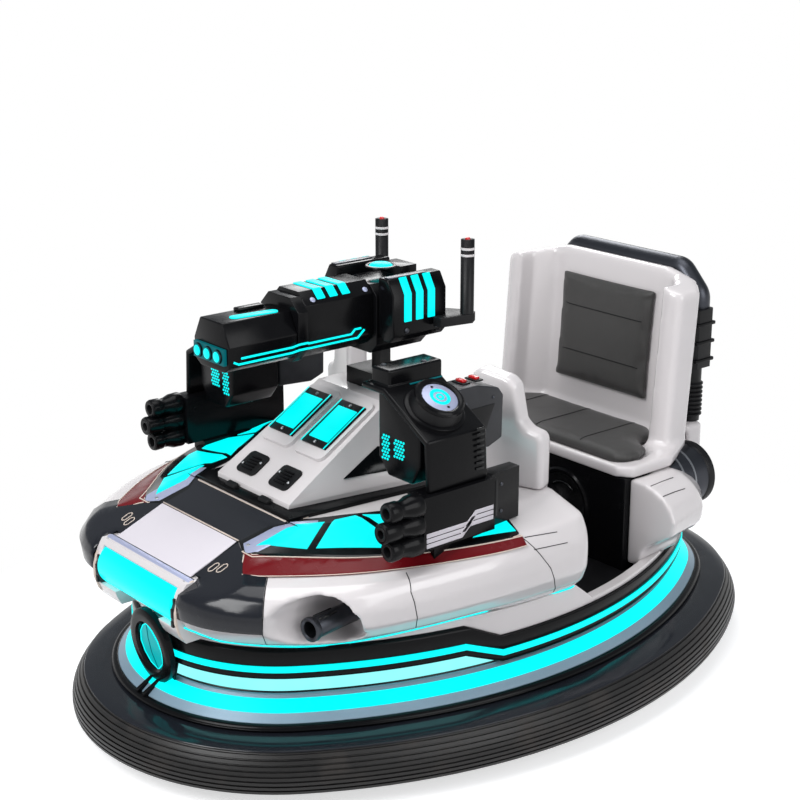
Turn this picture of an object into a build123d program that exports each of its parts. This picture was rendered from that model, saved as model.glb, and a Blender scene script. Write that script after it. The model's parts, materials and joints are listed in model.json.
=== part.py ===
from build123d import *
import os
from math import atan2, cos, degrees, radians, sin, sqrt, tan

# Bumper car with a hover-craft style body, a swivelling gun turret and a ring bumper.
# Millimetres. The car faces -Y, +X is its own left side, +Z is up.
# The origin lies on the floor under the centre of the bumper ring.

# ---- driving dimensions ----------------------------------------------------------------
RING_HALF_LENGTH = 880.0
RING_HALF_WIDTH = 600.0
RING_END_RADIUS = 480.0
SKIRT_BOTTOM = 44.0
SKIRT_HEIGHT = 78.0
SKIRT_THICKNESS = 45.0
RIB_COUNT = 8
RIB_DEPTH = 4.0
DECK_THICKNESS = 12.0
SHOULDER_THICKNESS = 9.0
BAND_INSET = 104.0
BAND_RUN = 61.0
BAND_RISE = 46.0
RAIL_INSET = 140.0
RAIL_WALL = 35.0
RAIL_TOP_FRONT = 292.0
RAIL_TOP_REAR = 250.0
STEP_FRONT_Y = -255.0
STEP_REAR_Y = -165.0
FLOOR_TOP = 227.0
FLOOR_THICKNESS = 12.0
SILL_TOP = 310.0
HULL_REAR = 45.0
WHEEL_RADIUS = 75.0
WHEEL_WIDTH = 46.0
WHEEL_TRACK = 560.0
CASTER_RADIUS = 40.0
CASTER_WIDTH = 32.0
CASTER_TRAIL = 30.0
CASTER_Y = 590.0
RUN_CLEARANCE = 0.05
SIDE_GAP = 5.0
SOFT_GAP = 0.3
TURRET_Y = -130.0
TURRET_BASE = 790.0
POST_SIZE = 30.0
PIVOT_RADIUS = 10.0
PIVOT_LENGTH = 60.0
BOLT_RADIUS = 5.5

os.makedirs("parts", exist_ok=True)


def save(piece, name):
    piece.part.label = name
    export_step(piece.part, f"parts/{name}.step")


def hexagon_like(half_width, low, high, cut):
    """Closed profile of a box with its four corners cut off, centred on x = 0."""
    points = [
        (-half_width, low + cut),
        (-half_width + cut, low),
        (half_width - cut, low),
        (half_width, low + cut),
        (half_width, high - cut),
        (half_width - cut, high),
        (-half_width + cut, high),
        (-half_width, high - cut),
    ]
    Polyline(*points, close=True)


# ---- the ring: an oval of four tangent arcs, with all its offsets parallel ---------------
END_CENTRE = RING_HALF_LENGTH - RING_END_RADIUS
WIDTH_LEFT = RING_HALF_WIDTH - RING_END_RADIUS
SIDE_CENTRE = (END_CENTRE**2 - WIDTH_LEFT**2) / (2 * WIDTH_LEFT)
SIDE_RADIUS = RING_HALF_WIDTH + SIDE_CENTRE
JOIN_ANGLE = degrees(atan2(END_CENTRE, SIDE_CENTRE))
END_SWEEP = 180 - 2 * JOIN_ANGLE
# centre x, centre y, radius, start angle, swept angle
OVAL_ARCS = [
    (-SIDE_CENTRE, 0.0, SIDE_RADIUS, -JOIN_ANGLE, 2 * JOIN_ANGLE),
    (0.0, END_CENTRE, RING_END_RADIUS, JOIN_ANGLE, END_SWEEP),
    (SIDE_CENTRE, 0.0, SIDE_RADIUS, 180 - JOIN_ANGLE, 2 * JOIN_ANGLE),
    (0.0, -END_CENTRE, RING_END_RADIUS, 180 + JOIN_ANGLE, END_SWEEP),
]


def add_ring(section):
    """Carry a closed section of (outset, height) points round the oval."""
    for centre_x, centre_y, radius, start, sweep_angle in OVAL_ARCS:
        outward = (cos(radians(start)), sin(radians(start)), 0)
        normal = (sin(radians(start)), -cos(radians(start)), 0)
        with BuildSketch(Plane(origin=(centre_x, centre_y, 0), x_dir=outward, z_dir=normal)) as cut:
            with BuildLine():
                Polyline(*[(radius + out, height) for out, height in section], close=True)
            make_face()
        revolve(cut.sketch, axis=Axis((centre_x, centre_y, 0), (0, 0, 1)), revolution_arc=sweep_angle)


def oval_outline(outset):
    """Draw the closed oval at an outset from the ring's outer line."""
    for centre_x, centre_y, radius, start, sweep_angle in OVAL_ARCS:
        CenterArc((centre_x, centre_y), radius + outset, start, sweep_angle)


def keep_side_view(points):
    """Keep what lies inside a side view outline of (y, z) points."""
    with BuildSketch(Plane.YZ) as view:
        with BuildLine():
            Polyline(*points, close=True)
        make_face()
    extrude(view.sketch, amount=RING_HALF_WIDTH + 50, both=True, mode=Mode.INTERSECT)


def step_region(front_low, front_high, rear_low, rear_high):
    """Side view of a moulding that steps down towards the rear."""
    reach = RING_HALF_LENGTH + 50
    return [
        (-reach, front_low),
        (STEP_FRONT_Y, front_low),
        (STEP_REAR_Y, rear_low),
        (reach, rear_low),
        (reach, rear_high),
        (STEP_REAR_Y, rear_high),
        (STEP_FRONT_Y, front_high),
        (-reach, front_high),
    ]


# ---- bumper skirt with its ribs ----------------------------------------------------------
SKIRT_TOP = SKIRT_BOTTOM + SKIRT_HEIGHT
BELLY_HEIGHT = SKIRT_BOTTOM + 16
SKIRT_LEAN = 28.0


def skirt_outset(height):
    return -SKIRT_LEAN * ((height - BELLY_HEIGHT) / (SKIRT_TOP - BELLY_HEIGHT)) ** 2


rib_pitch = SKIRT_HEIGHT / RIB_COUNT
skirt_section = [(-SKIRT_THICKNESS, SKIRT_BOTTOM)]
for rib in range(RIB_COUNT):
    rib_low = SKIRT_BOTTOM + rib * rib_pitch
    rib_high = rib_low + 0.62 * rib_pitch
    groove_high = rib_low + rib_pitch
    skirt_section.append((skirt_outset(rib_low), rib_low))
    skirt_section.append((skirt_outset(rib_high), rib_high))
    skirt_section.append((skirt_outset(rib_high) - RIB_DEPTH, rib_high))
    skirt_section.append((skirt_outset(groove_high) - RIB_DEPTH, groove_high))
skirt_section.append((-SKIRT_THICKNESS, SKIRT_TOP))
with BuildPart() as bumper_skirt:
    add_ring(skirt_section)
save(bumper_skirt, "bumper_skirt")

# ---- chassis deck, with openings for the drive wheels and service holes -------------------
DECK_TOP = SKIRT_TOP
DECK_BOTTOM = DECK_TOP - DECK_THICKNESS
WHEEL_X = WHEEL_TRACK / 2
WHEEL_SLOT_LENGTH = 2 * WHEEL_RADIUS + 4 * SIDE_GAP
WHEEL_SLOT_WIDTH = WHEEL_WIDTH + 4 * SIDE_GAP
SERVICE_SPACING_X = 300.0
SERVICE_SPACING_Y = 800.0
with BuildPart() as chassis_deck:
    with BuildSketch(Plane.XY.offset(DECK_BOTTOM)):
        with BuildLine():
            oval_outline(-SKIRT_THICKNESS)
        make_face()
        with Locations((WHEEL_X, 0), (-WHEEL_X, 0)):
            Rectangle(WHEEL_SLOT_WIDTH, WHEEL_SLOT_LENGTH, mode=Mode.SUBTRACT)
        with GridLocations(SERVICE_SPACING_X, SERVICE_SPACING_Y, 2, 2):
            Circle(BOLT_RADIUS, mode=Mode.SUBTRACT)
    extrude(amount=DECK_THICKNESS)
save(chassis_deck, "chassis_deck")

# ---- glossy shoulder, black trim roll, sloping light band ---------------------------------
SHOULDER_TOP = DECK_TOP + SHOULDER_THICKNESS
BAND_FOOT = DECK_TOP + 24.0
with BuildPart() as bumper_shoulder:
    add_ring(
        [
            (-SKIRT_LEAN, DECK_TOP),
            (-SKIRT_LEAN - 1, DECK_TOP + 3),
            (-SKIRT_LEAN - 30, SHOULDER_TOP),
            (-BAND_INSET, SHOULDER_TOP),
            (-BAND_INSET, DECK_TOP),
        ]
    )
save(bumper_shoulder, "bumper_shoulder")

with BuildPart() as apron_trim:
    add_ring(
        [
            (-BAND_INSET, SHOULDER_TOP),
            (-BAND_INSET + 11, SHOULDER_TOP),
            (-BAND_INSET + 15, SHOULDER_TOP + 4),
            (-BAND_INSET + 15, SHOULDER_TOP + 9),
            (-BAND_INSET + 10, SHOULDER_TOP + 14),
            (-BAND_INSET, BAND_FOOT),
        ]
    )
save(apron_trim, "apron_trim")

BAND_HEAD = BAND_FOOT + BAND_RISE
BAND_INNER = BAND_INSET + BAND_RUN
with BuildPart() as light_band:
    add_ring(
        [
            (-BAND_INSET, DECK_TOP),
            (-BAND_INSET, BAND_FOOT),
            (-BAND_INNER, BAND_HEAD),
            (-BAND_INNER - 10, BAND_HEAD),
            (-BAND_INNER - 10, DECK_TOP),
        ]
    )
save(light_band, "light_band")

band_slope = sqrt(BAND_RUN**2 + BAND_RISE**2)
band_out = BAND_RISE / band_slope
band_up = BAND_RUN / band_slope
STRIPE_PROUD = 2.0


def on_band(share, proud):
    return (
        -BAND_INSET - share * BAND_RUN + proud * band_out,
        BAND_FOOT + share * BAND_RISE + proud * band_up,
    )


with BuildPart() as band_stripe:
    add_ring(
        [on_band(0.29, 0), on_band(0.71, 0), on_band(0.71, STRIPE_PROUD), on_band(0.29, STRIPE_PROUD)]
    )

# ---- stepped rail, its light stripe, and the glow panel under the high front part ---------
RAIL_INNER = RAIL_INSET + RAIL_WALL
RAIL_HEIGHT = 66.0
STRIPE_LOW = 15.0
STRIPE_HIGH = 28.0
STRIPE_SET = 6.0
rail_low_front = RAIL_TOP_FRONT - RAIL_HEIGHT
rail_low_rear = BAND_HEAD
stripe_view = step_region(
    rail_low_front + STRIPE_LOW,
    rail_low_front + STRIPE_HIGH,
    rail_low_rear + STRIPE_LOW,
    rail_low_rear + STRIPE_HIGH,
)
with BuildPart() as stripe_ring:
    add_ring(
        [
            (-RAIL_INSET - STRIPE_SET, BAND_HEAD),
            (-RAIL_INSET - STRIPE_SET, RAIL_TOP_FRONT),
            (-RAIL_INSET + STRIPE_PROUD, RAIL_TOP_FRONT),
            (-RAIL_INSET + STRIPE_PROUD, BAND_HEAD),
        ]
    )
    keep_side_view(stripe_view)

with BuildPart() as ring_lights:
    add(band_stripe.part)
    add(stripe_ring.part)
save(ring_lights, "ring_lights")

with BuildPart() as rail_moulding:
    add_ring(
        [
            (-RAIL_INNER, BAND_HEAD),
            (-RAIL_INNER, RAIL_TOP_FRONT),
            (-RAIL_INSET - 6, RAIL_TOP_FRONT),
            (-RAIL_INSET, RAIL_TOP_FRONT - 6),
            (-RAIL_INSET, BAND_HEAD),
        ]
    )
    keep_side_view(step_region(rail_low_front, RAIL_TOP_FRONT, rail_low_rear, RAIL_TOP_REAR))
    add(stripe_ring.part, mode=Mode.SUBTRACT)
save(rail_moulding, "rail_moulding")

GLOW_INSET = RAIL_INSET + 12
with BuildPart() as glow_panel:
    add_ring(
        [
            (-RAIL_INNER, BAND_HEAD),
            (-RAIL_INNER, RAIL_TOP_FRONT),
            (-GLOW_INSET, RAIL_TOP_FRONT),
            (-GLOW_INSET, BAND_HEAD),
        ]
    )
    keep_side_view(
        [
            (-RING_HALF_LENGTH, BAND_HEAD),
            (STEP_REAR_Y, BAND_HEAD),
            (STEP_FRONT_Y, rail_low_front),
            (-RING_HALF_LENGTH, rail_low_front),
        ]
    )
save(glow_panel, "glow_panel")

# ---- floor pan inside the rail, white sill above the rail ---------------------------------
FLOOR_BOTTOM = FLOOR_TOP - FLOOR_THICKNESS
with BuildPart() as floor_pan:
    with BuildSketch(Plane.XY.offset(FLOOR_BOTTOM)):
        with BuildLine():
            oval_outline(-RAIL_INNER)
        make_face()
    extrude(amount=FLOOR_THICKNESS)
save(floor_pan, "floor_pan")

with BuildPart() as hull_sill:
    add_ring(
        [
            (-RAIL_INSET - 32, RAIL_TOP_REAR),
            (-RAIL_INSET - 8, RAIL_TOP_REAR),
            (-RAIL_INSET - 8, SILL_TOP),
            (-RAIL_INSET - 32, SILL_TOP),
        ]
    )
    keep_side_view(
        [
            (-RING_HALF_LENGTH, RAIL_TOP_FRONT),
            (STEP_FRONT_Y, RAIL_TOP_FRONT),
            (STEP_REAR_Y, RAIL_TOP_REAR),
            (RING_HALF_LENGTH, RAIL_TOP_REAR),
            (RING_HALF_LENGTH, RAIL_TOP_REAR + 12),
            (HULL_REAR + 60, RAIL_TOP_REAR + 12),
            (HULL_REAR, SILL_TOP),
            (-RING_HALF_LENGTH, SILL_TOP),
        ]
    )
save(hull_sill, "hull_sill")

# ---- hull: stacked lofts between plan outlines of lines and tangent arcs ------------------
# height, nose y, nose half width, shoulder x, shoulder y, flank x, flank y, tail x, tail y
HULL_LEVELS = [
    (SILL_TOP, -735, 60, (240, -669), (366, -482), (424, -200), (455, 20)),
    (340.0, -768, 120, (276, -706), (412, -500), (470, -230), (488, 12)),
    (375.0, -785, 145, (298, -727), (436, -520), (493, -240), (504, 6)),
    (410.0, -787, 150, (304, -731), (440, -522), (498, -240), (507, 0)),
    (440.0, -775, 145, (290, -717), (432, -512), (494, -240), (505, 0)),
    (455.0, -765, 140, (270, -702), (420, -500), (486, -240), (501, 0)),
    (466.0, -750, 120, (237, -680), (378, -480), (472, -240), (496, 0)),
    (485.0, -705, 110, (196, -640), (340, -479), (454, -243), (486, 0)),
    (514.0, -600, 100, (165, -565), (250, -400), (325, -200), (390, 0)),
]
TAIL_INSET = 32.0
NOSE_TOP_Y = -740.0
NOSE_TOP_Z = 441.0
PLATE_REAR_Y = -622.0
PLATE_REAR_Z = 488.0
COWL_FRONT_Y = -517.0
COWL_BASE_Z = 511.0
CAVITY_HALF = 215.0
CAVITY_FRONT = -430.0
CAVITY_TOP = 455.0
COCKPIT_FRONT = -70.0


def hull_outline(level):
    height, nose_y, nose_x, shoulder, flank, waist, end = level
    with BuildSketch(Plane.XY.offset(height)) as outline:
        with BuildLine():
            nose = Line((0, nose_y), (nose_x, nose_y))
            side = Spline(nose @ 1, shoulder, flank, waist, end, tangents=[(1, 0), (0.05, 1)])
            tail = TangentArc(side @ 1, (end[0] - TAIL_INSET, HULL_REAR), tangent=side % 1)
            Polyline(tail @ 1, (0, HULL_REAR), (0, nose_y))
        make_face()
    return outline.sketch


# each flank has a nozzle in a tapering recess, turned in towards the rear
NOZZLE_TURN = 8.0
NOZZLE_FRONT = (366.0, -612.0, 373.0)
NOZZLE_LENGTH = 110.0
NOZZLE_RADIUS = 22.0
NOZZLE_WALL = 5.0
RECESS_AHEAD = 110.0
RECESS_DEPTH = 130.0
RECESS_MOUTH = (24.0, 20.0)
RECESS_MOUTH_RADIUS = 70.0
RECESS_END = (14.0, 5.0)
RECESS_END_RADIUS = 50.0
nozzle_plane = Plane(
    origin=NOZZLE_FRONT,
    x_dir=(cos(radians(NOZZLE_TURN)), sin(radians(NOZZLE_TURN)), 0),
    z_dir=(-sin(radians(NOZZLE_TURN)), cos(radians(NOZZLE_TURN)), 0),
)
with BuildPart() as nozzle_recesses:
    with BuildSketch(nozzle_plane.offset(-RECESS_AHEAD)) as recess_mouth:
        with Locations((RECESS_MOUTH[0], -RECESS_MOUTH[1])):
            Circle(RECESS_MOUTH_RADIUS)
    with BuildSketch(nozzle_plane.offset(RECESS_DEPTH)) as recess_end:
        with Locations((RECESS_END[0], -RECESS_END[1])):
            Circle(RECESS_END_RADIUS)
    loft([recess_mouth.sketch, recess_end.sketch], ruled=True)
    mirror(about=Plane.YZ)

# slot across the nose for the light bar and its rim
RIM_HALF = 162.0
RIM_LOW = 316.0
RIM_FOOT_X = 84.0
SLOT_BACK_Y = -728.0
with BuildPart() as nose_slot:
    with BuildSketch(Plane.YZ) as slot_side:
        with BuildLine():
            Polyline((-850, RIM_LOW), (SLOT_BACK_Y, RIM_LOW), (SLOT_BACK_Y, 480), (-850, 480), close=True)
        make_face()
    extrude(slot_side.sketch, amount=RIM_HALF, both=True)

with BuildPart() as hull_shell:
    for low_level, high_level in zip(HULL_LEVELS, HULL_LEVELS[1:]):
        loft([hull_outline(low_level), hull_outline(high_level)], ruled=True)
    mirror(about=Plane.YZ)
    with BuildSketch(Plane.YZ):
        with BuildLine():
            Polyline(
                (NOSE_TOP_Y - 200, NOSE_TOP_Z - 200 * (PLATE_REAR_Z - NOSE_TOP_Z) / (PLATE_REAR_Y - NOSE_TOP_Y)),
                (PLATE_REAR_Y, PLATE_REAR_Z),
                (COWL_FRONT_Y, COWL_BASE_Z),
                (COWL_FRONT_Y, COWL_BASE_Z + 100),
                (NOSE_TOP_Y - 200, COWL_BASE_Z + 100),
                close=True,
            )
        make_face()
    extrude(amount=RING_HALF_WIDTH, both=True, mode=Mode.SUBTRACT)
    with BuildSketch(Plane.YZ):
        with BuildLine():
            Polyline(
                (CAVITY_FRONT, SILL_TOP - 1),
                (HULL_REAR + 1, SILL_TOP - 1),
                (HULL_REAR + 1, COWL_BASE_Z + 10),
                (COCKPIT_FRONT, COWL_BASE_Z + 10),
                (COCKPIT_FRONT, CAVITY_TOP),
                (CAVITY_FRONT, CAVITY_TOP),
                close=True,
            )
        make_face()
    extrude(amount=CAVITY_HALF, both=True, mode=Mode.SUBTRACT)
    for hollow in (nozzle_recesses, nose_slot):
        add(hollow.part, mode=Mode.SUBTRACT)
save(hull_shell, "hull_shell")

with BuildPart() as flank_nozzles:
    with BuildSketch(nozzle_plane) as nozzle_ring:
        Circle(NOZZLE_RADIUS)
        Circle(NOZZLE_RADIUS - NOZZLE_WALL, mode=Mode.SUBTRACT)
    extrude(nozzle_ring.sketch, amount=NOZZLE_LENGTH)
    with BuildSketch(nozzle_plane.offset(NOZZLE_LENGTH)) as nozzle_back:
        Circle(NOZZLE_RADIUS)
    extrude(nozzle_back.sketch, amount=RECESS_DEPTH - NOZZLE_LENGTH)
    mirror(about=Plane.YZ)
save(flank_nozzles, "flank_nozzles")

# ---- thin coloured skins laid on the hull --------------------------------------------------
SKIN = 2.5
PANEL_LOW = 376.0
NOSE_PLATE_HALF = 140.0
NOSE_STRIP_WIDTH = 17.0
nose_slope = (PLATE_REAR_Z - NOSE_TOP_Z) / (PLATE_REAR_Y - NOSE_TOP_Y)
nose_normal = (0, -nose_slope, 1)
nose_plane = Plane(origin=(0, NOSE_TOP_Y, NOSE_TOP_Z), x_dir=(1, 0, 0), z_dir=nose_normal)
PLATE_LENGTH = sqrt((PLATE_REAR_Y - NOSE_TOP_Y) ** 2 + (PLATE_REAR_Z - NOSE_TOP_Z) ** 2)


def grown(level, extra):
    """The same outline, larger all round, and lifted where the hull's top is nearly flat."""
    height, nose_y, nose_x, shoulder, flank, waist, end = level
    lift = 0 if height < 450 else extra
    slant = 0.7 * extra
    return (
        height + lift,
        nose_y - extra,
        nose_x,
        (shoulder[0] + slant, shoulder[1] - slant),
        (flank[0] + extra, flank[1] - 0.4 * extra),
        (waist[0] + extra, waist[1]),
        (end[0] + extra, end[1]),
    )


with BuildPart() as hull_skin:
    skin_levels = [grown(level, SKIN) for level in HULL_LEVELS]
    for low_level, high_level in zip(skin_levels, skin_levels[1:]):
        loft([hull_outline(low_level), hull_outline(high_level)], ruled=True)
    with BuildSketch(Plane.YZ):
        with BuildLine():
            Polyline(
                (NOSE_TOP_Y - 200, NOSE_TOP_Z - 200 * nose_slope + SKIN),
                (PLATE_REAR_Y, PLATE_REAR_Z + SKIN),
                (COWL_FRONT_Y, COWL_BASE_Z + SKIN),
                (COWL_FRONT_Y, COWL_BASE_Z + 100),
                (NOSE_TOP_Y - 200, COWL_BASE_Z + 100),
                close=True,
            )
        make_face()
    extrude(amount=RING_HALF_WIDTH, both=True, mode=Mode.SUBTRACT)
    for hollow in (hull_shell, nozzle_recesses, nose_slot):
        add(hollow.part, mode=Mode.SUBTRACT)


def skin_piece(outline, low, high):
    """The hull's skin inside a plan outline and between two heights, on both sides."""
    with BuildPart() as piece:
        add(hull_skin.part)
        with BuildSketch(Plane.XY.offset(low)) as plan:
            with BuildLine():
                Polyline(*outline, close=True)
            make_face()
        extrude(plan.sketch, amount=high - low, mode=Mode.INTERSECT)
        mirror(about=Plane.YZ)
    return piece


STRIP_OUTER = NOSE_PLATE_HALF + NOSE_STRIP_WIDTH
STRIPE_LOW_Z = 466.0
STRIPE_HIGH_Z = 485.0
corner_panels = skin_piece(
    [
        (NOSE_PLATE_HALF, -830),
        (NOSE_PLATE_HALF, PLATE_REAR_Y),
        (186, -641),
        (238, -680),
        (278, -650),
        (365, -731),
        (365, -830),
    ],
    PANEL_LOW,
    COWL_BASE_Z,
)
brow_panel = skin_piece(
    [(0, PLATE_REAR_Y), (NOSE_PLATE_HALF, PLATE_REAR_Y), (143, -585), (146, -551)]
    + [(172, COWL_FRONT_Y), (0, COWL_FRONT_Y)],
    PANEL_LOW,
    COWL_BASE_Z + SKIN,
)
with BuildPart() as nose_panels:
    add(corner_panels.part)
    add(brow_panel.part)
save(nose_panels, "nose_panels")

with BuildPart() as red_stripes:
    stripe_skin = skin_piece(
        [(190, -700), (600, -700), (600, -130), (470, -150), (300, -430), (170, -600)],
        STRIPE_LOW_Z,
        STRIPE_HIGH_Z,
    )
    add(stripe_skin.part)
    add(nose_panels.part, mode=Mode.SUBTRACT)
save(red_stripes, "red_stripes")

# outline in plan of the long window
WINDOW_FIELD = [
    (141, -620),
    (186, -641),
    (300, -560),
    (400, -440),
    (480, -240),
    (470, -150),
    (400, -130),
    (246, -334),
    (211, -412),
    (194, -457),
    (146, -551),
]
with BuildPart() as side_windows:
    window_skin = skin_piece(WINDOW_FIELD, STRIPE_HIGH_Z - 9, COWL_BASE_Z + 9)
    add(window_skin.part)
    for neighbour in (red_stripes, nose_panels):
        add(neighbour.part, mode=Mode.SUBTRACT)
save(side_windows, "side_windows")

# ---- nose: bare plate with two strips, light bar and its white rim -------------------------
PLATE_PROUD = 5.0
with BuildPart() as nose_plate:
    with BuildSketch(nose_plane) as plate_field:
        with Locations((0, PLATE_LENGTH / 2)):
            Rectangle(2 * NOSE_PLATE_HALF, PLATE_LENGTH - 2)
    extrude(plate_field.sketch, amount=PLATE_PROUD)
    add(hull_shell.part, mode=Mode.SUBTRACT)
save(nose_plate, "nose_plate")

LIGHT_HALF = 142.0
LIGHT_TOP = 432.0
LIGHT_LOW = 348.0
LIGHT_FRONT = -790.0
RIM_FRONT = -786.0
RIM_TOP = 443.0


def nose_bar(front, top, low, half):
    """Rounded bar across the nose, between two heights."""
    with BuildSketch(Plane.YZ) as bar:
        with BuildLine():
            upper = (-762, top)
            lower = (-768, low)
            Polyline(lower, (-700, low), (-700, top), upper)
            ThreePointArc(upper, (front, (top + low) / 2 + 4), lower)
        make_face()
    extrude(bar.sketch, amount=half, both=True)


with BuildPart() as nose_light:
    nose_bar(LIGHT_FRONT, LIGHT_TOP, LIGHT_LOW, LIGHT_HALF)
    add(hull_shell.part, mode=Mode.SUBTRACT)
save(nose_light, "nose_light")

with BuildPart() as nose_rim:
    nose_bar(RIM_FRONT, RIM_TOP, RIM_LOW, RIM_HALF)
    with BuildSketch(Plane.YZ) as slot:
        with BuildLine():
            Polyline((-830, LIGHT_LOW), (-700, LIGHT_LOW), (-700, LIGHT_TOP), (-830, LIGHT_TOP), close=True)
        make_face()
    extrude(slot.sketch, amount=LIGHT_HALF, both=True, mode=Mode.SUBTRACT)
    with BuildSketch(Plane.YZ) as foot_gap:
        with BuildLine():
            Polyline((-830, 290), (-700, 290), (-700, LIGHT_LOW), (-830, LIGHT_LOW), close=True)
        make_face()
    extrude(foot_gap.sketch, amount=RIM_FOOT_X, both=True, mode=Mode.SUBTRACT)
    for neighbour in (hull_shell, nose_plate, nose_panels):
        add(neighbour.part, mode=Mode.SUBTRACT)
save(nose_rim, "nose_rim")

# ---- badge at the foot of the nose ----------------------------------------------------------
BADGE_TOP = 322.0
BADGE_FRONT_TOP = -756.0
BADGE_FRONT_FOOT = -790.0
# half of the front outline: x, z
BADGE_OUTLINE = [(0, 326), (34, 300), (56, 262), (66, 225), (52, 176), (28, 150), (0, 143)]


with BuildPart() as front_badge:
    with BuildSketch(Plane.YZ) as badge_side:
        with BuildLine():
            Polyline(
                (-728, 326),
                (BADGE_FRONT_TOP, 326),
                (BADGE_FRONT_TOP - 18, 240),
                (BADGE_FRONT_FOOT, 150),
                (BADGE_FRONT_FOOT, 133),
                (-772, 133),
                (-772, 146),
                (-728, 178),
                close=True,
            )
        make_face()
    extrude(badge_side.sketch, amount=90, both=True)
    with BuildSketch(Plane.XZ) as badge_front:
        with BuildLine():
            half = BADGE_OUTLINE + [(-x, z) for x, z in BADGE_OUTLINE[-2:0:-1]]
            Polyline(*half, close=True)
        make_face()
    extrude(badge_front.sketch, amount=900, mode=Mode.INTERSECT)
    for neighbour in (
        light_band,
        band_stripe,
        bumper_shoulder,
        apron_trim,
        rail_moulding,
        stripe_ring,
        glow_panel,
        hull_sill,
        floor_pan,
        hull_shell,
        nose_rim,
    ):
        add(neighbour.part, mode=Mode.SUBTRACT)
save(front_badge, "front_badge")

# ---- cowl over the rider's feet -------------------------------------------------------------
BASE_THICKNESS = 8.0
BASE_HALF_FRONT = 172.0
BASE_HALF_REAR = 212.0
COWL_REAR_Y = -80.0
COWL_FOOT_FRONT = -485.0
COWL_LIP = 533.0
COWL_TOP = 697.0
COWL_TOP_Y = -215.0
COWL_HALF_FRONT = 132.0
COWL_HALF_TOP = 118.0
COWL_HALF_REAR = 190.0
with BuildPart() as cowl_base:
    with BuildSketch(Plane.XY.offset(COWL_BASE_Z)) as base_plan:
        with BuildLine():
            Polyline(
                (-BASE_HALF_FRONT, COWL_FRONT_Y + 2),
                (BASE_HALF_FRONT, COWL_FRONT_Y + 2),
                (BASE_HALF_REAR, COWL_REAR_Y),
                (-BASE_HALF_REAR, COWL_REAR_Y),
                close=True,
            )
        make_face()
    extrude(base_plan.sketch, amount=BASE_THICKNESS + 4)
    add(hull_shell.part, mode=Mode.SUBTRACT)
    add(side_windows.part, mode=Mode.SUBTRACT)
save(cowl_base, "cowl_base")

cowl_foot_z = COWL_BASE_Z + BASE_THICKNESS + 4
cowl_rise = (COWL_TOP - COWL_LIP) / (COWL_TOP_Y - COWL_FOOT_FRONT)
COWL_LEVELS = [
    (cowl_foot_z, COWL_FOOT_FRONT - 2, COWL_HALF_FRONT - 2, COWL_HALF_REAR + 4),
    (COWL_LIP, COWL_FOOT_FRONT, COWL_HALF_FRONT, COWL_HALF_REAR),
    (COWL_TOP, COWL_TOP_Y, COWL_HALF_TOP, COWL_HALF_TOP + 6),
]
face_plane = Plane(
    origin=(0, COWL_FOOT_FRONT, COWL_LIP), x_dir=(1, 0, 0), z_dir=(0, -cowl_rise, 1)
)
SCREEN_X = 59.0
SCREEN_WIDTH = 82.0
SCREEN_LENGTH = 132.0
SCREEN_MIDDLE = 212.0
PAD_HEIGHT = 9.0
VENT_SIZE = 66.0
VENT_MIDDLE = 52.0
with BuildPart() as cowl:
    sections = []
    for height, front_y, half_front, half_rear in COWL_LEVELS:
        with BuildSketch(Plane.XY.offset(height)) as level_plan:
            with BuildLine():
                Polyline(
                    (-half_front, front_y),
                    (half_front, front_y),
                    (half_rear, COWL_REAR_Y),
                    (-half_rear, COWL_REAR_Y),
                    close=True,
                )
            make_face()
        sections.append(level_plan.sketch)
    loft(sections, ruled=True)
    with BuildSketch(face_plane) as pads:
        with Locations((SCREEN_X, SCREEN_MIDDLE - 4), (-SCREEN_X, SCREEN_MIDDLE - 4)):
            RectangleRounded(SCREEN_WIDTH + 20, SCREEN_LENGTH + 46, 16)
    extrude(pads.sketch, amount=PAD_HEIGHT)
save(cowl, "cowl")

screen_plane = face_plane.offset(PAD_HEIGHT)
with BuildPart() as cowl_panels:
    with BuildSketch(screen_plane) as screens:
        with Locations((SCREEN_X, SCREEN_MIDDLE), (-SCREEN_X, SCREEN_MIDDLE)):
            Rectangle(SCREEN_WIDTH, SCREEN_LENGTH)
    extrude(screens.sketch, amount=5)
    with BuildSketch(face_plane) as vents:
        with Locations((SCREEN_X, VENT_MIDDLE), (-SCREEN_X, VENT_MIDDLE)):
            RectangleRounded(VENT_SIZE, VENT_SIZE - 6, 12)
    extrude(vents.sketch, amount=5)
save(cowl_panels, "cowl_panels")

# ---- block that carries the turret post ------------------------------------------------------
BLOCK_HALF = 60.0
BLOCK_FRONT = -181.0
BLOCK_TOP = 735.0
with BuildPart() as turret_post:
    with Locations((0, 0, COWL_TOP)):
        with Locations((0, (BLOCK_FRONT + COWL_REAR_Y) / 2)):
            Box(
                2 * BLOCK_HALF,
                COWL_REAR_Y - BLOCK_FRONT,
                BLOCK_TOP - COWL_TOP,
                align=(Align.CENTER, Align.CENTER, Align.MIN),
            )
        with Locations((0, TURRET_Y)):
            Box(
                POST_SIZE,
                POST_SIZE,
                TURRET_BASE - SIDE_GAP - COWL_TOP,
                align=(Align.CENTER, Align.CENTER, Align.MIN),
            )
            Cylinder(
                PIVOT_RADIUS,
                TURRET_BASE + PIVOT_LENGTH - COWL_TOP,
                align=(Align.CENTER, Align.CENTER, Align.MIN),
            )
save(turret_post, "turret_post")

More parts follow.
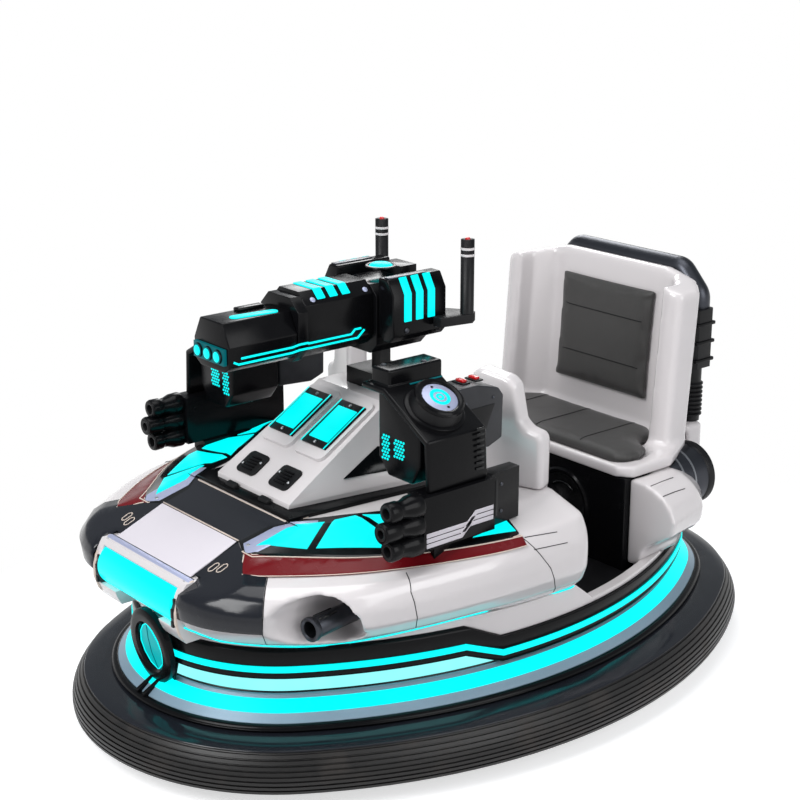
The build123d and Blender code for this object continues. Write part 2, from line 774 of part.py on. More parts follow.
# ---- side gun saddles with knobs, speaker pods, gun boxes and barrels --------------------------
SADDLE_FRONT = -367.0
SADDLE_REAR = -210.0
SADDLE_THICKNESS = 13.0
GUN_BOX_TOP = 616.0
GUN_BOX_LOW = 504.0
GUN_BOX_OUTER = 450.0
GUN_BOX_INNER = 398.0
GUN_FRONT = -390.0
GUN_REAR = -200.0
PLATE_OUTER = 438.0
ROOF_EAVE_X = 432.0
ROOF_EAVE_Z = 722.0
ROOF_RIDGE_X = 296.0
ROOF_RIDGE_Z = 800.0
SADDLE_INNER_X = 225.0
with BuildPart() as gun_saddles:
    with BuildSketch(Plane.XZ.offset(-SADDLE_REAR)) as arch:
        with BuildLine():
            outer = Polyline(
                (SADDLE_INNER_X, ROOF_RIDGE_Z),
                (ROOF_RIDGE_X, ROOF_RIDGE_Z),
                (ROOF_EAVE_X, ROOF_EAVE_Z),
                (PLATE_OUTER, GUN_BOX_TOP),
            )
            Polyline(
                outer @ 1,
                (PLATE_OUTER - SADDLE_THICKNESS, GUN_BOX_TOP),
                (ROOF_EAVE_X - SADDLE_THICKNESS, ROOF_EAVE_Z - 9),
                (ROOF_RIDGE_X - 4, ROOF_RIDGE_Z - SADDLE_THICKNESS),
                (SADDLE_INNER_X, ROOF_RIDGE_Z - SADDLE_THICKNESS),
                outer @ 0,
            )
        make_face()
    extrude(arch.sketch, amount=SADDLE_REAR - SADDLE_FRONT)
    with Locations(((ROOF_RIDGE_X + 238) / 2, (SADDLE_FRONT + SADDLE_REAR) / 2 + 8, ROOF_RIDGE_Z)):
        Box(
            ROOF_RIDGE_X - 238,
            SADDLE_REAR - SADDLE_FRONT - 16,
            34,
            align=(Align.CENTER, Align.CENTER, Align.MIN),
        )
    mirror(about=Plane.YZ)
save(gun_saddles, "gun_saddles")

KNOB_X = 366.0
KNOB_Y = (SADDLE_FRONT + SADDLE_REAR) / 2 - 4
roof_fall = (ROOF_RIDGE_Z - ROOF_EAVE_Z) / (ROOF_EAVE_X - ROOF_RIDGE_X)
knob_z = ROOF_RIDGE_Z - (KNOB_X - ROOF_RIDGE_X) * roof_fall
knob_plane = Plane(origin=(KNOB_X, KNOB_Y, knob_z), x_dir=(0, 1, 0), z_dir=(roof_fall, 0, 1))
KNOB_RADIUS = 58.0
KNOB_HEIGHT = 33.0
with BuildPart() as saddle_knobs:
    with BuildSketch(knob_plane) as knob_foot:
        Circle(KNOB_RADIUS)
    extrude(knob_foot.sketch, amount=KNOB_HEIGHT, taper=14)
    mirror(about=Plane.YZ)
save(saddle_knobs, "saddle_knobs")

POD_INNER = 262.0
POD_OUTER = 392.0
POD_LOW = 612.0
POD_FRONT = SADDLE_FRONT + 14
POD_REAR = SADDLE_REAR - 12
pod_top_outer = ROOF_RIDGE_Z - SADDLE_THICKNESS - (POD_OUTER - ROOF_RIDGE_X) * roof_fall
with BuildPart() as speaker_pods:
    with BuildSketch(Plane.XZ.offset(-POD_REAR)) as pod_face:
        with BuildLine():
            Polyline(
                (POD_INNER, POD_LOW + 36),
                (POD_INNER + 30, POD_LOW),
                (POD_OUTER - 24, POD_LOW),
                (POD_OUTER, POD_LOW + 40),
                (POD_OUTER, pod_top_outer + 6),
                (POD_INNER, ROOF_RIDGE_Z),
                close=True,
            )
        make_face()
    extrude(pod_face.sketch, amount=POD_REAR - POD_FRONT)
    mirror(about=Plane.YZ)
    add(gun_saddles.part, mode=Mode.SUBTRACT)
save(speaker_pods, "speaker_pods")

REAR_BLOCK_END = -112.0
BARREL_X = 430.0
with BuildPart() as gun_boxes:
    with BuildSketch(Plane.XY.offset(GUN_BOX_LOW)) as box_plan:
        with BuildLine():
            Polyline(
                (GUN_BOX_INNER, GUN_FRONT),
                (GUN_BOX_OUTER, GUN_FRONT),
                (GUN_BOX_OUTER, GUN_REAR),
                (GUN_BOX_OUTER - 14, GUN_REAR),
                (GUN_BOX_OUTER - 22, REAR_BLOCK_END),
                (GUN_BOX_INNER, REAR_BLOCK_END),
                close=True,
            )
        make_face()
    extrude(box_plan.sketch, amount=GUN_BOX_TOP - GUN_BOX_LOW)
    with Locations((GUN_BOX_INNER + 14, (GUN_FRONT + GUN_REAR) / 2 + 20, GUN_BOX_LOW)):
        Box(44, 150, 60, align=(Align.CENTER, Align.CENTER, Align.MAX))
    mirror(about=Plane.YZ)
    for neighbour in (hull_shell, side_windows, red_stripes):
        add(neighbour.part, mode=Mode.SUBTRACT)
save(gun_boxes, "gun_boxes")

# height of the bore, how far forward the muzzle reaches, radius
SIDE_BARRELS = [(599.0, -472.0, 17.0), (560.0, -486.0, 15.0), (519.0, -470.0, 17.0)]
with BuildPart() as gun_barrels:
    for bore_z, muzzle_y, radius in SIDE_BARRELS:
        with BuildSketch(Plane.XZ.offset(-GUN_FRONT)) as barrel:
            with Locations((BARREL_X, bore_z)):
                Circle(radius)
                Circle(radius - 6, mode=Mode.SUBTRACT)
        extrude(barrel.sketch, amount=GUN_FRONT - muzzle_y)
    mirror(about=Plane.YZ)
save(gun_barrels, "gun_barrels")

# ---- switch boxes behind the saddles, cockpit shields --------------------------------------------
SHIELD_REACH = 172.0
SHIELD_THICKNESS = 50.0
SHIELD_TURN = 20.0
SHIELD_OUTER_X = 376.0
SHIELD_FOOT = 495.0
shield_plane = Plane(
    origin=(SHIELD_OUTER_X, 4, 0),
    x_dir=(-cos(radians(SHIELD_TURN)), -sin(radians(SHIELD_TURN)), 0),
    z_dir=(-sin(radians(SHIELD_TURN)), cos(radians(SHIELD_TURN)), 0),
)
# distance inwards from the outer edge, height
SHIELD_OUTLINE = [
    (0, SHIELD_FOOT),
    (0, 628),
    (8, 640),
    (36, 647),
    (52, 663),
    (66, 740),
    (84, 755),
    (150, 768),
    (SHIELD_REACH, 756),
    (SHIELD_REACH, SHIELD_FOOT),
]
SHIELD_CORNER = 14.0
SHIELD_EDGE = 11.0
with BuildPart() as cockpit_shields:
    with BuildSketch(shield_plane) as shield_face:
        with BuildLine():
            Polyline(*SHIELD_OUTLINE, close=True)
        make_face()
        upper = [v for v in shield_face.vertices() if v.Z > SHIELD_FOOT + 1]
        fillet(upper, radius=SHIELD_CORNER)
    extrude(shield_face.sketch, amount=SHIELD_THICKNESS)
    rims = [
        edge
        for face in cockpit_shields.faces().sort_by(Axis((0, 0, 0), shield_plane.z_dir))[:: len(cockpit_shields.faces()) - 1]
        for edge in face.edges()
        if edge.center().Z > SHIELD_FOOT + 1
    ]
    fillet(rims, radius=SHIELD_EDGE)
    mirror(about=Plane.YZ)
    for neighbour in (hull_shell, cowl_base):
        add(neighbour.part, mode=Mode.SUBTRACT)
save(cockpit_shields, "cockpit_shields")

with BuildPart() as switch_boxes:
    with BuildSketch(Plane.YZ.offset(276)) as switch_side:
        with BuildLine():
            Polyline(
                (SADDLE_REAR, 640),
                (-118, 634),
                (-80, 648),
                (-78, 742),
                (-92, 760),
                (-150, 776),
                (SADDLE_REAR, 776),
                close=True,
            )
        make_face()
    extrude(switch_side.sketch, amount=66)
    mirror(about=Plane.YZ)
    for neighbour in (cockpit_shields, gun_saddles):
        add(neighbour.part, mode=Mode.SUBTRACT)
save(switch_boxes, "switch_boxes")

# ---- seat: hollow black box with the battery, white shell, fenders and cushions ---------------
BOX_TOP = 455.0
BOX_WALL = 8.0
BOX_FRONT = 320.0
BOX_REAR = 615.0
SHELL_FRONT = 312.0
SHELL_TOP = 482.0
BACK_TOP = 878.0
WING_TOP = 850.0
BACK_LEAN = 30.0
# half of the plan of the seat box: x, y
BOX_PLAN = [(335, BOX_FRONT), (335, 395), (245, 555), (198, BOX_REAR)]


def mirrored_plan(half_points):
    """Draw a closed outline from its +X half, points going from front to rear."""
    Polyline(*half_points, *[(-x, y) for x, y in reversed(half_points)], close=True)


with BuildPart() as seat_volume:
    with BuildSketch(Plane.XY.offset(FLOOR_TOP)) as volume_plan:
        with BuildLine():
            mirrored_plan(BOX_PLAN)
        make_face()
    extrude(volume_plan.sketch, amount=BOX_TOP - FLOOR_TOP)

with BuildPart() as seat_box:
    add(seat_volume.part)
    with BuildSketch(Plane.XY.offset(FLOOR_TOP)) as box_room:
        with BuildLine():
            mirrored_plan(BOX_PLAN)
        make_face()
        offset(amount=-BOX_WALL)
    extrude(box_room.sketch, amount=BOX_TOP - FLOOR_TOP - BOX_WALL, mode=Mode.SUBTRACT)
save(seat_box, "seat_box")

BATTERY_SIZE = (340.0, 200.0, 190.0)
BATTERY_Y = 450.0
with BuildPart() as battery_block:
    with Locations((0, BATTERY_Y, FLOOR_TOP)):
        Box(*BATTERY_SIZE, align=(Align.CENTER, Align.CENTER, Align.MIN))
save(battery_block, "battery_block")

SPEAKER_X = 141.0
SPEAKER_Z = 345.0
SPEAKER_RADIUS = 86.0
with BuildPart() as seat_speakers:
    with BuildSketch(Plane.YZ.offset(SPEAKER_X)) as speaker:
        with BuildLine():
            Polyline(
                (BOX_FRONT, SPEAKER_Z),
                (BOX_FRONT, SPEAKER_Z + SPEAKER_RADIUS),
                (BOX_FRONT - 7, SPEAKER_Z + SPEAKER_RADIUS),
                (BOX_FRONT - 10, SPEAKER_Z + SPEAKER_RADIUS - 8),
                (BOX_FRONT - 3, SPEAKER_Z + SPEAKER_RADIUS - 20),
                (BOX_FRONT - 2, SPEAKER_Z + 24),
                (BOX_FRONT - 8, SPEAKER_Z + 8),
                (BOX_FRONT - 9, SPEAKER_Z),
                close=True,
            )
        make_face()
    revolve(speaker.sketch, axis=Axis((SPEAKER_X, 0, SPEAKER_Z), (0, 1, 0)))
    mirror(about=Plane.YZ)
save(seat_speakers, "seat_speakers")

PAD_FRONT = 336.0
BUCKET_DEPTH = 14.0
PAD_PLAN = [(278, PAD_FRONT), (300, PAD_FRONT + 22), (306, 400), (290, 450), (238, 484), (230, 538), (190, 575)]
# half plans of the backrest at its foot; the top is the same, leaning to the rear
BACK_OUTER = [(262, 497), (292, 510), (292, 575), (240, 620)]
BACK_INNER = [(236, 497), (236, 545), (195, 585)]


def back_plan(height, lean):
    with BuildSketch(Plane.XY.offset(height)) as plan:
        with BuildLine():
            outer = [(x, y + lean) for x, y in BACK_OUTER]
            inner = [(x, y + lean) for x, y in BACK_INNER]
            half = outer + [(-x, y) for x, y in reversed(outer)]
            half += [(-x, y) for x, y in inner] + list(reversed(inner))
            Polyline(*half, close=True)
        make_face()
    return plan.sketch


with BuildPart() as seat_shell:
    with BuildSketch(Plane.XY.offset(BOX_TOP)) as rim_plan:
        with BuildLine():
            mirrored_plan([(318, SHELL_FRONT), (345, SHELL_FRONT + 26), (345, 470), (292, 575), (240, 640)])
        make_face()
    extrude(rim_plan.sketch, amount=SHELL_TOP - BOX_TOP)
    loft([back_plan(SHELL_TOP, 0), back_plan(BACK_TOP, BACK_LEAN)], ruled=True)
    with BuildSketch(Plane.XZ.offset(-900)) as top_view:
        with BuildLine():
            Polyline(
                (-300, 1000),
                (-300, WING_TOP),
                (-280, WING_TOP),
                (-170, BACK_TOP),
                (170, BACK_TOP),
                (280, WING_TOP),
                (300, WING_TOP),
                (300, 1000),
                close=True,
            )
        make_face()
    extrude(top_view.sketch, amount=600, mode=Mode.SUBTRACT)
    with BuildSketch(Plane.XY.offset(SHELL_TOP - BUCKET_DEPTH)) as bucket_plan:
        with BuildLine():
            mirrored_plan(PAD_PLAN)
        make_face()
        offset(amount=SOFT_GAP)
    extrude(bucket_plan.sketch, amount=BUCKET_DEPTH, mode=Mode.SUBTRACT)
save(seat_shell, "seat_shell")

PAD_HALF = 226.0
PAD_THICKNESS = 26.0
BACK_PAD_HALF = 160.0
BACK_PAD_LOW = 540.0
BACK_PAD_HIGH = 830.0
BACK_PAD_THICKNESS = 18.0
back_slope = BACK_LEAN / (BACK_TOP - SHELL_TOP)
with BuildPart() as seat_pad:
    with BuildSketch(Plane.XY.offset(SHELL_TOP - BUCKET_DEPTH + SOFT_GAP)) as pad_plan:
        with BuildLine():
            mirrored_plan(PAD_PLAN)
        make_face()
    extrude(pad_plan.sketch, amount=PAD_THICKNESS)
save(seat_pad, "seat_pad")

with BuildPart() as back_pad:
    with BuildSketch(Plane.YZ) as pad_side:
        with BuildLine():
            rear_low = 585 - SOFT_GAP + (BACK_PAD_LOW - SHELL_TOP) * back_slope
            rear_high = 585 - SOFT_GAP + (BACK_PAD_HIGH - SHELL_TOP) * back_slope
            Polyline(
                (rear_low, BACK_PAD_LOW),
                (rear_high, BACK_PAD_HIGH),
                (rear_high - BACK_PAD_THICKNESS, BACK_PAD_HIGH),
                (rear_low - BACK_PAD_THICKNESS, BACK_PAD_LOW),
                close=True,
            )
        make_face()
    extrude(pad_side.sketch, amount=BACK_PAD_HALF, both=True)
save(back_pad, "back_pad")

# sections of the fenders beside the seat: y, then x and z of twelve corners
FENDER_SECTIONS = [
    (
        335.0,
        [(330, 455), (368, 453), (406, 446), (436, 434), (460, 414), (476, 383)]
        + [(466, 346), (434, 326), (398, 308), (381, 286), (372, 250), (330, 240)],
    ),
    (
        470.0,
        [(300, 454), (338, 452), (374, 446), (404, 434), (428, 414), (444, 385)]
        + [(440, 350), (424, 330), (396, 314), (378, 294), (366, 262), (300, 252)],
    ),
    (
        590.0,
        [(240, 420), (268, 418), (294, 412), (314, 402), (330, 386), (338, 366)]
        + [(336, 346), (322, 332), (306, 320), (296, 308), (290, 298), (240, 290)],
    ),
]
with BuildPart() as fenders:
    fender_cuts = []
    for station, corners in FENDER_SECTIONS:
        with BuildSketch(Plane.XZ.offset(-station)) as fender_cut:
            with BuildLine():
                Polyline(*corners, close=True)
            make_face()
        fender_cuts.append(fender_cut.sketch)
    loft(fender_cuts, ruled=True)
    mirror(about=Plane.YZ)
    for neighbour in (seat_volume, seat_shell, hull_sill, rail_moulding):
        add(neighbour.part, mode=Mode.SUBTRACT)
save(fenders, "fenders")

# ---- rear: fairing, thruster drums, hoses, boxes and roll tube -----------------------------------
FAIRING_LOW = 300.0
FAIRING_TOP = 503.0
FAIRING_REAR = 702.0
SOCKET_RADIUS = 11.0
SOCKET_DEPTH = 30.0
SOCKET_Z = 440.0
with BuildPart() as rear_fairing:
    with BuildSketch(Plane.XY.offset(FAIRING_LOW)) as fairing_plan:
        with BuildLine():
            mirrored_plan([(240, BOX_REAR - 22), (262, BOX_REAR + 10), (262, 672), (190, FAIRING_REAR)])
        make_face()
    extrude(fairing_plan.sketch, amount=FAIRING_TOP - FAIRING_LOW)
    for neighbour in (seat_volume, seat_shell, fenders):
        add(neighbour.part, mode=Mode.SUBTRACT)
    with BuildSketch(Plane.XZ.offset(-FAIRING_REAR)) as socket_bore:
        with Locations((0, SOCKET_Z)):
            Circle(SOCKET_RADIUS)
    extrude(socket_bore.sketch, amount=SOCKET_DEPTH, mode=Mode.SUBTRACT)
save(rear_fairing, "rear_fairing")

DRUM_X = 292.0
DRUM_Z = 398.0
DRUM_RADIUS = 74.0
DRUM_FRONT = 470.0
DRUM_REAR = 604.0
with BuildPart() as thruster_drums:
    with BuildSketch(Plane.XZ.offset(-DRUM_FRONT)) as drum_circle:
        with Locations((DRUM_X, DRUM_Z)):
            Circle(DRUM_RADIUS)
    extrude(drum_circle.sketch, amount=DRUM_FRONT - DRUM_REAR)
    with BuildSketch(Plane.XZ.offset(-DRUM_REAR)) as drum_mouth:
        with Locations((DRUM_X, DRUM_Z)):
            Circle(DRUM_RADIUS - 22)
    extrude(drum_mouth.sketch, amount=40, mode=Mode.SUBTRACT)
    mirror(about=Plane.YZ)
    for neighbour in (seat_volume, seat_shell, fenders, rear_fairing):
        add(neighbour.part, mode=Mode.SUBTRACT)
save(thruster_drums, "thruster_drums")

HOSE_X = 227.0
HOSE_Y = 662.0
HOSE_RADIUS = 25.0
TANK_LOW = 640.0
TANK_TOP = 785.0
with BuildPart() as rear_tanks:
    with Locations((HOSE_X + 8, HOSE_Y + 4, TANK_LOW)):
        Box(52, 62, TANK_TOP - TANK_LOW, align=(Align.CENTER, Align.CENTER, Align.MIN))
    chamfer(rear_tanks.edges().filter_by(Axis.Z), 8)
    with Locations((HOSE_X, HOSE_Y, FAIRING_TOP)):
        Cylinder(HOSE_RADIUS, TANK_LOW - FAIRING_TOP, align=(Align.CENTER, Align.CENTER, Align.MIN))
    mirror(about=Plane.YZ)
    add(seat_shell.part, mode=Mode.SUBTRACT)
save(rear_tanks, "rear_tanks")

TUBE_RADIUS = 26.0
TUBE_Y = 677.0
TUBE_Z = 872.0
with BuildPart() as roll_tube:
    with BuildLine(Plane.XZ.offset(-TUBE_Y)) as tube_line:
        FilletPolyline(
            (-HOSE_X, TANK_TOP - 4),
            (-HOSE_X, 815),
            (-172, TUBE_Z),
            (172, TUBE_Z),
            (HOSE_X, 815),
            (HOSE_X, TANK_TOP - 4),
            radius=30,
        )
    with BuildSketch(Plane(origin=(-HOSE_X, TUBE_Y, TANK_TOP - 4), z_dir=(0, 0, 1))) as tube_round:
        Circle(TUBE_RADIUS)
    sweep(tube_round.sketch, path=tube_line.line)
    add(rear_tanks.part, mode=Mode.SUBTRACT)
    add(seat_shell.part, mode=Mode.SUBTRACT)
save(roll_tube, "roll_tube")

# ---- drive wheels and motors -----------------------------------------------------------------------
HUB_RADIUS = 52.0
HUB_WIDTH = 40.0
AXLE_RADIUS = 12.0
AXLE_REACH = 54.0
MOTOR_OUTER = WHEEL_X - WHEEL_WIDTH / 2 - 8
MOTOR_INNER = 150.0
MOTOR_HALF_Y = 55.0
MOTOR_LOW = 35.0
for side_name, side in (("left", 1), ("right", -1)):
    with BuildPart() as tyre:
        with BuildSketch(Plane.YZ.offset(side * WHEEL_X)) as tyre_face:
            with Locations((0, WHEEL_RADIUS)):
                Circle(WHEEL_RADIUS)
                Circle(HUB_RADIUS, mode=Mode.SUBTRACT)
        extrude(tyre_face.sketch, amount=WHEEL_WIDTH / 2, both=True)
        rounds = tyre.edges().filter_by(GeomType.CIRCLE)
        chamfer(rounds.filter_by(lambda edge: edge.radius > WHEEL_RADIUS - 1), 5)
    save(tyre, f"tyre_{side_name}")
    with BuildPart() as hub:
        with BuildSketch(Plane.YZ.offset(side * WHEEL_X)) as hub_face:
            with Locations((0, WHEEL_RADIUS)):
                Circle(HUB_RADIUS)
        extrude(hub_face.sketch, amount=HUB_WIDTH / 2, both=True)
        with BuildSketch(Plane.YZ.offset(side * WHEEL_X)) as axle_face:
            with Locations((0, WHEEL_RADIUS)):
                Circle(AXLE_RADIUS)
        extrude(axle_face.sketch, amount=-side * (HUB_WIDTH / 2 + AXLE_REACH))
    save(hub, f"wheel_hub_{side_name}")

with BuildPart() as drive_motors:
    with Locations(((MOTOR_INNER + MOTOR_OUTER) / 2, 0, MOTOR_LOW)):
        Box(
            MOTOR_OUTER - MOTOR_INNER,
            2 * MOTOR_HALF_Y,
            DECK_BOTTOM - MOTOR_LOW,
            align=(Align.CENTER, Align.CENTER, Align.MIN),
        )
    chamfer(drive_motors.edges().filter_by(Axis.X), 10)
    with BuildSketch(Plane.YZ.offset(MOTOR_OUTER)) as axle_bore:
        with Locations((0, WHEEL_RADIUS)):
            Circle(AXLE_RADIUS + RUN_CLEARANCE)
    extrude(axle_bore.sketch, amount=-(AXLE_REACH + 2), mode=Mode.SUBTRACT)
    mirror(about=Plane.YZ)
save(drive_motors, "drive_motors")

# ---- casters at the front and the rear ----------------------------------------------------------------
MOUNT_LOW = 104.0
FORK_TOP = 98.0
FORK_PLATE = 10.0
KINGPIN_RADIUS = 8.0
CASTER_PIN_RADIUS = 6.0
LEG_INNER = CASTER_WIDTH / 2 + SIDE_GAP
LEG_THICKNESS = 6.0
with BuildPart() as caster_mounts:
    with Locations((0, -CASTER_Y, DECK_BOTTOM), (0, CASTER_Y, DECK_BOTTOM)):
        Box(90, 80, DECK_BOTTOM - MOUNT_LOW, align=(Align.CENTER, Align.CENTER, Align.MAX))
        Cylinder(
            KINGPIN_RADIUS,
            DECK_BOTTOM - FORK_TOP + FORK_PLATE,
            align=(Align.CENTER, Align.CENTER, Align.MAX),
        )
save(caster_mounts, "caster_mounts")

for end_name, place in (("front", -CASTER_Y), ("rear", CASTER_Y)):
    axle_y = place + CASTER_TRAIL
    with BuildPart() as fork:
        with Locations((0, place + 6, FORK_TOP)):
            Box(2 * (LEG_INNER + LEG_THICKNESS), 56, FORK_PLATE, align=(Align.CENTER, Align.CENTER, Align.MAX))
        with BuildSketch(Plane.YZ.offset(LEG_INNER)) as leg:
            with BuildLine():
                Polyline(
                    (place - 14, FORK_TOP),
                    (place + 32, FORK_TOP),
                    (axle_y + 14, CASTER_RADIUS),
                    (axle_y + 8, CASTER_RADIUS - 14),
                    (axle_y - 8, CASTER_RADIUS - 14),
                    (axle_y - 14, CASTER_RADIUS),
                    close=True,
                )
            make_face()
        extrude(leg.sketch, amount=LEG_THICKNESS)
        mirror(about=Plane.YZ)
        with Locations((0, place, FORK_TOP)):
            Cylinder(
                KINGPIN_RADIUS + RUN_CLEARANCE,
                FORK_PLATE,
                align=(Align.CENTER, Align.CENTER, Align.MAX),
                mode=Mode.SUBTRACT,
            )
        with BuildSketch(Plane.YZ) as pin_bore:
            with Locations((axle_y, CASTER_RADIUS)):
                Circle(CASTER_PIN_RADIUS + RUN_CLEARANCE)
        extrude(pin_bore.sketch, amount=LEG_INNER + LEG_THICKNESS + 1, both=True, mode=Mode.SUBTRACT)
    save(fork, f"caster_fork_{end_name}")
    with BuildPart() as caster_wheel:
        with BuildSketch(Plane.YZ) as roller:
            with Locations((axle_y, CASTER_RADIUS)):
                Circle(CASTER_RADIUS)
        extrude(roller.sketch, amount=CASTER_WIDTH / 2, both=True)
        chamfer(caster_wheel.edges(), 3)
        with BuildSketch(Plane.YZ) as pin:
            with Locations((axle_y, CASTER_RADIUS)):
                Circle(CASTER_PIN_RADIUS)
        extrude(pin.sketch, amount=LEG_INNER + LEG_THICKNESS, both=True)
    save(caster_wheel, f"caster_wheel_{end_name}")

# ---- swivelling gun turret ------------------------------------------------------------------------------
HUB_FRONT_Y = -200.0
HUB_REAR_Y = -55.0
TURRET_TOP = 943.0
TURRET_HALF = 70.0
GUN_MIDDLE = -380.0
COLLAR_FRONT = -405.0
MUZZLE_Y = -577.0
GUN_TOP = 918.0
BREECH_TOP = 952.0
SIGHT_Y = -80.0


def turret_block(front, rear, half_width, low, high, cut):
    with BuildSketch(Plane.XZ.offset(-rear)) as profile:
        with BuildLine():
            hexagon_like(half_width, low, high, cut)
        make_face()
    extrude(profile.sketch, amount=rear - front)


with BuildPart() as turret_hub:
    turret_block(HUB_FRONT_Y, HUB_REAR_Y, TURRET_HALF, TURRET_BASE, TURRET_TOP, 22)
    with Locations((0, TURRET_Y, TURRET_BASE)):
        Cylinder(
            PIVOT_RADIUS + RUN_CLEARANCE,
            PIVOT_LENGTH + 2,
            align=(Align.CENTER, Align.CENTER, Align.MIN),
            mode=Mode.SUBTRACT,
        )
    with Locations((0, SIGHT_Y, TURRET_TOP)):
        Box(70, 46, 22, align=(Align.CENTER, Align.CENTER, Align.MIN))
save(turret_hub, "turret_hub")

with BuildPart() as gun_breech:
    turret_block(GUN_MIDDLE, HUB_FRONT_Y, 60, 810, BREECH_TOP, 26)
    turret_block(COLLAR_FRONT, GUN_MIDDLE, 67, 806, 944, 28)
save(gun_breech, "gun_breech")

# half of the front profile of the gun: x, z
GUN_PROFILE = [(42, 815), (62, 828), (64, 872), (40, GUN_TOP)]
with BuildPart() as gun_front:
    with BuildSketch(Plane.XZ.offset(-COLLAR_FRONT)) as gun_profile:
        with BuildLine():
            mirrored_plan(GUN_PROFILE)
        make_face()
    extrude(gun_profile.sketch, amount=COLLAR_FRONT - MUZZLE_Y)
save(gun_front, "gun_front")

LAMP_SPACING = 35.0
LAMP_Z = 850.0
LAMP_RADIUS = 14.0
with BuildPart() as gun_lamps:
    with Locations((0, MUZZLE_Y, LAMP_Z)):
        Box(108, 8, 34, align=(Align.CENTER, Align.MAX, Align.CENTER))
    with BuildSketch(Plane.XZ.offset(-MUZZLE_Y + 8)) as lamps:
        with Locations((-LAMP_SPACING, LAMP_Z), (0, LAMP_Z), (LAMP_SPACING, LAMP_Z)):
            Circle(LAMP_RADIUS)
    extrude(lamps.sketch, amount=5)
save(gun_lamps, "gun_lamps")

# half profile of the pods on the sides of the turret: x, z
POD_PROFILE = [(70, 836), (84, 823), (108, 823), (121, 838), (121, 928), (102, 961), (70, 961)]
with BuildPart() as turret_pods:
    with BuildSketch(Plane.XZ.offset(45)) as side_pod:
        with BuildLine():
            Polyline(*POD_PROFILE, close=True)
        make_face()
    extrude(side_pod.sketch, amount=150)
    mirror(about=Plane.YZ)
    add(turret_hub.part, mode=Mode.SUBTRACT)
save(turret_pods, "turret_pods")

# place and size of the light strips on the turret's side: x of the base, y, z, thickness, length, height
SIDE_STRIPS = [
    (52.0, -470.0, 841.0, 15.0, 136.0, 9.0),
    (54.0, -290.0, 841.0, 12.0, 130.0, 9.0),
    (121.0, -168.0, 884.0, 4.0, 34.0, 74.0),
    (121.0, -120.0, 884.0, 4.0, 34.0, 74.0),
    (121.0, -72.0, 884.0, 4.0, 34.0, 74.0),
]
with BuildPart() as turret_lights:
    for base_x, strip_y, strip_z, thickness, length, height in SIDE_STRIPS:
        with Locations((base_x, strip_y, strip_z)):
            Box(thickness, length, height, align=(Align.MIN, Align.CENTER, Align.CENTER))
    mirror(about=Plane.YZ)
    for neighbour in (gun_front, gun_breech):
        add(neighbour.part, mode=Mode.SUBTRACT)
    with Locations(Location((20, -483, GUN_TOP), (0, 0, -9))):
        Box(24, 104, 4, align=(Align.CENTER, Align.CENTER, Align.MIN))
    for stripe_y in (-335, -303, -271):
        with Locations(Location((0, stripe_y, BREECH_TOP), (0, 0, 24))):
            Box(56, 13, 3, align=(Align.CENTER, Align.CENTER, Align.MIN))
    with Locations((0, TURRET_Y, TURRET_TOP)):
        Cylinder(26, 5, align=(Align.CENTER, Align.CENTER, Align.MIN))
save(turret_lights, "turret_lights")

HANDLE_X = 146.0
HANDLE_Y = -7.0
BRACKET_LOW = 848.0
BRACKET_THICKNESS = 20.0
HANDLE_RADIUS = 15.0
HANDLE_TOP = 1036.0
with BuildPart() as turret_handles:
    with BuildSketch(Plane.XY.offset(BRACKET_LOW)) as bracket_plan:
        with BuildLine():
            Polyline(
                (0, HUB_REAR_Y),
                (108, HUB_REAR_Y),
                (121, -86),
                (150, -86),
                (165, HANDLE_Y),
                (150, 14),
                (128, 14),
                (70, -26),
                (0, -26),
                close=True,
            )
        make_face()
    extrude(bracket_plan.sketch, amount=BRACKET_THICKNESS)
    with Locations((HANDLE_X, HANDLE_Y, BRACKET_LOW)):
        Cylinder(HANDLE_RADIUS, HANDLE_TOP - BRACKET_LOW, align=(Align.CENTER, Align.CENTER, Align.MIN))
    mirror(about=Plane.YZ)
    for neighbour in (turret_pods, turret_hub, turret_lights):
        add(neighbour.part, mode=Mode.SUBTRACT)
save(turret_handles, "turret_handles")
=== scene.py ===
"""A lit bumper car with a gun turret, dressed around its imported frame."""
import json
import math
from contextlib import contextmanager

